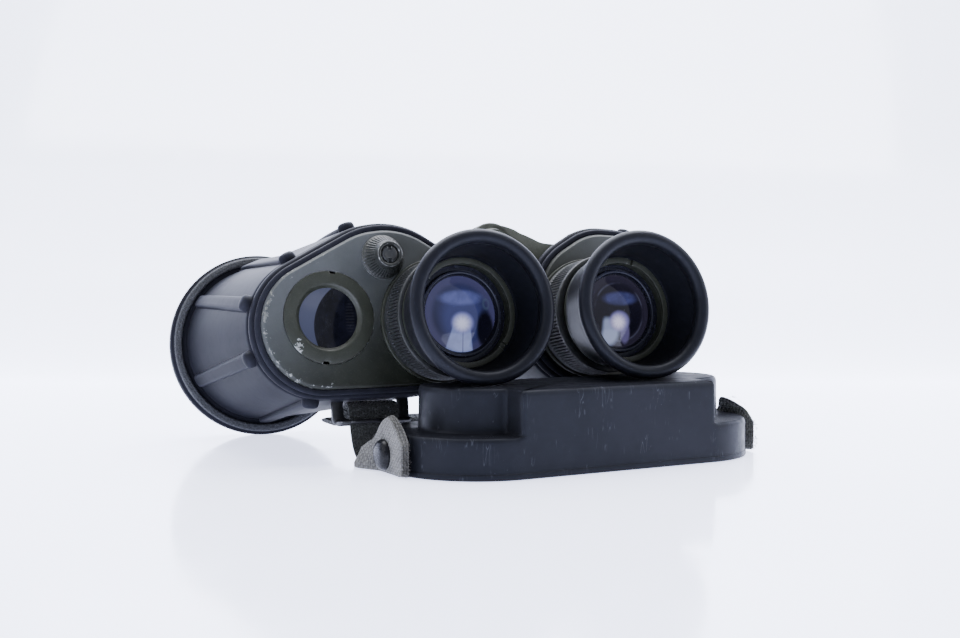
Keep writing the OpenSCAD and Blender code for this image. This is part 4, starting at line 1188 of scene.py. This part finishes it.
rows = [level(skirt, ns, 2.6, 0.35), level(skirt, ns, 2.2, 0.0), level(skirt, ns, 0.7, 0.0),
    level(skirt, ns, 0.25, 0.12), level(skirt, ns, 0.02, 0.5), level(skirt, ns, 0.0, 1.5),
    level(skirt, ns, 0.08, 1.95), level(skirt, ns, 0.35, 2.2), level(skirt, ns, 0.42, 2.8)]
rows += [level(skirt, ns, 0.42, z) for z in (5.0, 8.0, 10.5)]
rows += [level(skirt, ns, 0.42, 12.2), level(skirt, ns, 0.42 + 0.12 * flush, 12.8),
    level(skirt, ns, 0.42 + 0.42 * flush, 13.3), level(skirt, ns, 0.42 + 0.85 * flush, 13.62),
    level(skirt, ns, 0.42 + 1.4 * flush, 13.8)]
inner_off = 0.42 * (1 - flush)


def upper_level(off, z):
    base = upper * (flush[:, None]) + (1 - flush)[:, None] * np.where((ru < rs)[:, None], upper, skirt)
    return level(base, nu, off + inner_off, z)


rows += [upper_level(-1.0 * flush, 13.82), upper_level(-0.35 * flush, 14.0),
    upper_level(-0.08 * flush, 14.45), upper_level(0.0, 15.2), upper_level(0.03, 18), upper_level(0.06, 21),
    upper_level(0.1, 24), upper_level(0.12, 26.4), upper_level(0.16, 27.2), upper_level(0.32, 27.9),
    upper_level(0.62, 28.4), upper_level(1.05, 28.72), upper_level(1.6, 28.86), upper_level(2.3, 28.9)]
top = rows[-1]
for f in (0.93, 0.8, 0.55, 0.25, 0.02):
    rows.append(np.stack([top[:, 0] * f, top[:, 1] * f, np.full(len(top), 28.9)], -1))
s = Shape()
s.grid(on_guard(np.array(rows)), close_rows=False, caps=(1,))
# the hollow inside
inner = [level(skirt, ns, 2.6, 0.35), level(skirt, ns, 2.95, 0.8), level(skirt, ns, 3.0, 11.4)]
ui = rounded(upper0, 2.0)
ni = normals2(ui, 2)
inner += [level(ui, ni, 2.3, 11.8), level(ui, ni, 2.4, 26.2), level(ui, ni, 3.2, 26.8)]
last = inner[-1]
inner += [np.stack([last[:, 0] * f, last[:, 1] * f, np.full(len(last), 26.9)], -1) for f in (0.85, 0.4, 0.02)]
s.grid(on_guard(np.array(inner)), close_rows=False, caps=(1,))
s.make("guard_body", [M["guard"]], "rain_guard", "guard", "guard_shell", angle=30, edge_passes=2)

# ---------------------------------------------------------------- cloth tabs and their rivets
rng = np.random.default_rng(7)
TOP_Y = [-14.5, -13.0, -10, -6, -3, -1, 1.5, 4, 7, 10, 13, 14.5]
TOP_Z = [11.0, 13.4, 16.4, 18.9, 19.6, 19.5, 18.3, 15.8, 12.9, 10.9, 9.3, 8.2]


def top_line(a):
    fine = np.linspace(-14.5, 14.5, 291)
    z = np.pad(np.interp(fine, TOP_Y, TOP_Z), 18, mode="edge")
    z = np.convolve(z, np.hanning(37) / np.hanning(37).sum(), "valid")
    return np.interp(a, fine, z)


def tab(side, name, mats, node):
    x0 = side * 70.55
    dy = 3.5 if side < 0 else 0.0
    s = Shape()
    nu_, nv_ = 60, 40
    uvs = []
    for layer in range(3):
        a = np.linspace(-14.5, 14.5, nu_)
        zt = top_line(a) - 0.35 * layer + 0.25 * np.array(
            [noise.noise(Vector((q * 0.9, layer * 7.0, side))) for q in a])
        zb = 0.25 + 0.35 * np.clip((np.abs(a) - 11.5) / 3, 0, 1) ** 2 + 0.12 * layer
        grids = []
        for face in (0, 1):
            g = np.zeros((nu_, nv_, 3))
            for i in range(nu_):
                for j in range(nv_):
                    y = a[i] * (1 - 0.012 * layer)
                    z = zb[i] + (zt[i] - zb[i]) * j / (nv_ - 1)
                    edge_t = min(1.0, min(i, nu_ - 1 - i, j, nv_ - 1 - j) / 1.5)
                    th = 0.06 + 0.40 * edge_t
                    d = math.hypot(y, z - 6.4)
                    push = 0.55 * (1 - math.exp(-(max(0, d - 4.6) / 4.5) ** 2)) * (0.4 + 0.3 * layer)
                    wav = 0.22 * noise.noise(Vector((y * 0.22, z * 0.25, layer * 3.1 + side)))
                    lean = 0.5 * max(0, (z - 12) / 7.4) ** 1.5
                    flare = 4.4 * min(1, max(0, (a[i] - 3) / 11)) ** 1.3 * min(1,
                        max(0, (11.5 - z) / 9)) ** 1.2 if side < 0 else 0.0
                    xx = (0.48 + 0.86 * layer if side < 0 else 0.34 + 0.46 * layer) + push * (
                        0.6 if side < 0 else 0.3) + wav - lean * 0.5 + flare
                    if side > 0:
                        xx -= 3.6 * min(1.0, max(0.0, (z - 14.6) / 4.8)) ** 1.3
                    fr = 0.35 * noise.noise(Vector((z * 2.6, layer * 5.0, 3.0 * side))) * (1 if i
                        in (0, nu_ - 1) else 0)
                    g[i, j] = (x0 + side * (xx + (th if face else -th)), y + fr, z)
            grids.append(g)
        outer, inn = grids[1], grids[0]
        ring = []
        # wrap front and back into one closed surface, column by column
        for i in range(nu_):
            ring.append(np.concatenate([outer[i], inn[i][::-1]]))
        ring = np.array(ring)
        ring[:, :, 1] += dy
        s.grid(on_guard(ring), close_rows=False, caps=(0, 1), mat=[0] * (nu_ - 1))
        s.m[-2], s.m[-1] = 1, 1     # the two cut ends take the frayed finish
        flat = np.stack([ring[:, :, 1], ring[:, :, 2]], -1) * MM
        uvs.append(flat.reshape(-1, 2))

    # loose threads at the cut edges
    def thread(p0, d0, length, rad):
        pts = [np.array(p0, float)]
        d = np.array(d0, float)
        for _ in range(4):
            d = d + rng.normal(0, 0.35, 3)
            d /= np.linalg.norm(d)
            pts.append(pts[-1] + d * length / 4)
        rows = []
        for q, pnt in enumerate(pts):
            r = rad * (1 - 0.6 * q / 4)
            rows.append([pnt + r * np.array([math.cos(t), 0.3 * math.sin(t), math.sin(t)]) for t
                in (0, 2.1, 4.2)])
        rows = np.array(rows)
        s.grid(on_guard(rows), close_rows=False, caps=(0, 1), mat=1)
        uvs.append((rows[:, :, 1:] * MM).reshape(-1, 2))

    for _ in range(110):
        z = rng.uniform(0.6, 11.6)
        lay = rng.uniform(0.1, 2.7)
        thread((x0 + side * lay, -14.3 + dy, z), (side * rng.normal(0, 0.5), -1, rng.normal(0, 0.6)),
            rng.uniform(0.35, 1.2), 0.09)
    for _ in range(60):
        yy = rng.uniform(-13.5, 13.5)
        zz = float(top_line(np.array([yy]))[0])
        thread((x0 + side * rng.uniform(0.3, 2.4), yy + dy, zz - 0.4),
            (side * rng.normal(0, 0.4), rng.normal(0, 0.5), 1), rng.uniform(0.3, 0.9), 0.08)
    for _ in range(40):
        z = rng.uniform(0.6, 10)
        thread((x0 + side * rng.uniform(0.2, 2.5), 14.3 + dy, z),
            (side * rng.normal(0, 0.5), 1, rng.normal(0, 0.6)), rng.uniform(0.35, 1.0), 0.08)
    o = s.make(name, mats, "rain_guard", "canvas" if side < 0 else "canvas_dark", node, angle=60,
        flat_uv=np.concatenate(uvs))
    return o


tab_l = tab(-1, "canvas_tab_left", [M["canvas"], M["fray"]], "guard_tab_left")
tab_r = tab(1, "canvas_tab_right", [M["canvas_dark"], M["fray"]], "guard_tab_right")

for side, tag in ((-1, "left"), (1, "right")):
    dy = 3.5 if side < 0 else 0.0
    prof = soften([(0, -4.6), (3.3, -4.6), (3.3, -3.95), (1.5, -3.9), (1.5, 2.6), (5.2, 2.6, 0.3),
        (5.2, 3.3, 0.6), (4.5, 4.5, 0.7), (3.0, 5.1, 0.8), (1.5, 5.28, 0.6), (0, 5.3)], 0.2, closed=False)
    ph = np.linspace(0, 2 * math.pi, 64, endpoint=False)
    rows = np.stack([np.stack([side * (70.5 + h) + 0 * ph, dy + r * np.cos(ph), 6.4 + r * np.sin(ph)], -1)
        for r, h in prof])
    s = Shape()
    s.grid(on_guard(rows), close_rows=False)
    s.make("rivet_" + tag, [M["rivet"]], "rain_guard", "rivet", "guard_rivet_" + tag, angle=40)

# ---------------------------------------------------------------- webbing


def smooth_path(pts, per=6):
    """A smooth curve through the points."""
    p = [np.array(q, float) for q in pts]
    p = [2 * p[0] - p[1]] + p + [2 * p[-1] - p[-2]]
    out = []
    for i in range(1, len(p) - 2):
        a, b, c, d = p[i - 1:i + 3]
        for s_ in range(per):
            t = s_ / per
            out.append(0.5 * ((2 * b) + (c - a) * t + (2 * a - 5 * b + 4 * c - d) * t * t
                + (-a + 3 * b - 3 * c + d) * t ** 3))
    out.append(p[-2])
    return np.array(out)


def ribbon(s, uvs, path, wdir, width, thick, shift=0.0):
    """A flat strap along path with rounded selvedges; wdir is its width direction."""
    n = len(path)
    across = np.linspace(-0.5, 0.5, 13) * width
    tan = np.gradient(path, axis=0)
    tan /= np.linalg.norm(tan, axis=1, keepdims=True)
    wd = np.array(wdir, float)
    nr = np.cross(tan, wd)
    nr /= np.linalg.norm(nr, axis=1, keepdims=True)
    dist = np.concatenate([[0], np.cumsum(np.linalg.norm(np.diff(path, axis=0), axis=1))]) + shift
    rows, uv = [], []
    for i in range(n):
        row, u = [], []
        for sgn, seq in ((1, across), (-1, across[::-1])):
            for a in seq:
                e = 1 - (abs(a) / (width / 2)) ** 8 * 0.55
                row.append(path[i] + wd * a + nr[i] * sgn * thick / 2 * e)
                u.append((a, dist[i]))
        rows.append(row)
        uv.append(u)
    s.grid(on_floor(np.array(rows)), close_rows=False, caps=(0, 1))
    uvs.append((np.array(uv) * MM).reshape(-1, 2))
    return dist[-1]


T, PITCH, NL = 1.4, 1.65, 7
ZT = 1.6 + (NL - 1) * PITCH
s, uvs = Shape(), []
side_pts = [(38.5, 0.95), (41.6, 1.75), (44.45, 4.55), (46.55, 8.45), (47.85, 12.25), (48.7, 15.7),
    (49.55, 18.0), (51.15, 19.2), (53.15, 19.1), (55.0, 17.7), (56.35, 15.25), (57.4, 12.95),
    (59.2, ZT + 0.0), (61.6, ZT - 0.68), (72, ZT - 0.7), (79.9, ZT - 0.7)]
path = np.array([(-52.5, y, z) for y, z in side_pts])
end = ribbon(s, uvs, smooth_path(path), (1, 0, 0), 19.0, T)
pts = [(-62.5, 71, ZT - 0.9), (-50, 71, ZT - 0.85), (-30, 71, ZT - 0.72)]
x0, x1 = -34.0, 40.0
z = ZT - 0.7
going = 1
for i in range(NL):
    a, b = (x0, x1) if going > 0 else (x1, x0)
    for k, f in enumerate(np.linspace(0.1, 0.9, 9)):
        if i == 0 and a + (b - a) * f < -25:
            continue
        pts.append((a + (b - a) * f, 71, z + 0.06 * math.sin(3 * f * math.pi + i)))
    if i < NL - 1:
        e = b + going * 0.3
        pts += [(e, 71, z - 0.04), (e + going * 0.95, 71, z - 0.35), (e + going * 1.15, 71, z - PITCH / 2),
            (e + going * 0.95, 71, z - PITCH + 0.35), (e, 71, z - PITCH + 0.04)]
    z -= PITCH
    going = -going
pts.append((x1 + 0.3, 71, 0.9))
ribbon(s, uvs, smooth_path(np.array(pts), 4), (0, 1, 0), 18.0, T, end)
strap = s.make("neck_strap_webbing", [M["webbing"]], "barrel_left", "webbing", "neck_strap", angle=50,
    flat_uv=np.concatenate(uvs))

s, uvs = Shape(), []
stub_pts = [(49.25, 9.2), (49.4, 11.5), (49.6, 13.4), (50.4, 14.65), (52.1, 14.95), (53.6, 14.5),
    (54.5, 13.4), (54.75, 11.5), (54.75, 9), (54.75, 6.2)]
ribbon(s, uvs, smooth_path(np.array([(47.5, y, z) for y, z in stub_pts])), (1, 0, 0), 19.0, T)
stub = s.make("strap_loop_right", [M["webbing"]], "barrel_right", "webbing", "strap_stub", angle=50,
    flat_uv=np.concatenate(uvs))

# ---------------------------------------------------------------- CAD nodes that stay
STAY = {"hinge_pin": "steel", "hinge_cap_rear": "arm", "hinge_cap_front": "arm", "purge_screw_right": "steel",
        "buckle_male": "black_plastic", "buckle_female": "black_plastic", "reticle_left": "inner_glass",
        "prism_left": "inner_glass", "prism_right": "inner_glass", "field_lens_left": "inner_glass",
        "field_lens_right": "inner_glass",
        "prism_mount_left": "black_metal", "prism_mount_right": "black_metal"}
for node, m in STAY.items():
    o = bpy.data.objects[node]
    for sl in o.material_slots:
        sl.link = "OBJECT"
        sl.material = M[m]

# ---------------------------------------------------------------- studio


def stage_mat(name, colour, rough, spec, glow=0.0):
    k = Mat(name, rough=rough, specular=spec)
    k.b.inputs["Emission Color"].default_value = (0.70, 0.745, 1.0, 1.0)
    k.b.inputs["Emission Strength"].default_value = glow
    n = k.noise(60, 3, 0.5)
    col = k.mix(k.step(n, 0.3, 0.7), colour, tuple(c * 0.985 for c in colour))
    return k.finish(col, k.step(k.noise(25, 3), 0.3, 0.7, rough - 0.03, rough + 0.03))


M["paper"] = stage_mat("studio_sweep", (0.82, 0.845, 0.93), 0.12, 1.0, 2.3)
view = np.array([math.sin(EYE_TURN), math.cos(EYE_TURN)])
right = np.array([view[1], -view[0]])
foot = np.array(EYE[:2])
prof = [(-3.2, 0.0), (-1.5, 0.0), (-0.4, 0.0), (0.3, 0.0), (0.78, 0.0)]
R = 0.55
prof += [(0.78 + R * math.sin(a), R * (1 - math.cos(a))) for a in np.linspace(0.08, math.pi / 2, 18)]
prof += [(0.78 + R, 1.0), (0.78 + R, 2.2), (0.78 + R, 3.4)]
rows = []
for d, h in prof:
    rows.append([(*(foot + view * d + right * w), h - 0.0001) for w in np.linspace(-3.5, 3.5, 9)])
rows = np.array(rows)
me = bpy.data.meshes.new("sweep")
me.from_pydata(rows.reshape(-1, 3).tolist(), [], faces_of(rows.shape[0], rows.shape[1], False, False))
me.materials.append(M["paper"])
me.shade_smooth()
sweep = bpy.data.objects.new("sweep", me)
scene.collection.objects.link(sweep)


def area(name, loc, aim, size, power, colour):
    l = bpy.data.lights.new(name, "AREA")
    l.shape, l.size, l.size_y, l.energy, l.color = "RECTANGLE", size[0], size[1], power, colour
    o = bpy.data.objects.new(name, l)
    o.location = loc
    o.rotation_euler = (Vector(aim) - Vector(loc)).to_track_quat("-Z", "Y").to_euler()
    scene.collection.objects.link(o)
    return o


area("softbox_top", (0.1, 0.25, 1.0), (0, 0, 0), (1.3, 0.9), 36, (0.96, 0.97, 1.0))
area("softbox_left", (-1.1, -0.1, 0.55), (-0.05, 0, 0.05), (0.8, 0.9), 5, (0.95, 0.96, 1.0))
area("softbox_right", (0.95, -0.55, 0.5), (0.05, 0, 0.05), (0.7, 0.9), 7, (0.95, 0.96, 1.0))

world = bpy.data.worlds.new("studio")
scene.world = world
world.use_nodes = True
bg = world.node_tree.nodes["Background"]
bg.inputs[0].default_value = (0.86, 0.90, 1.0, 1.0)
bg.inputs[1].default_value = 0.8
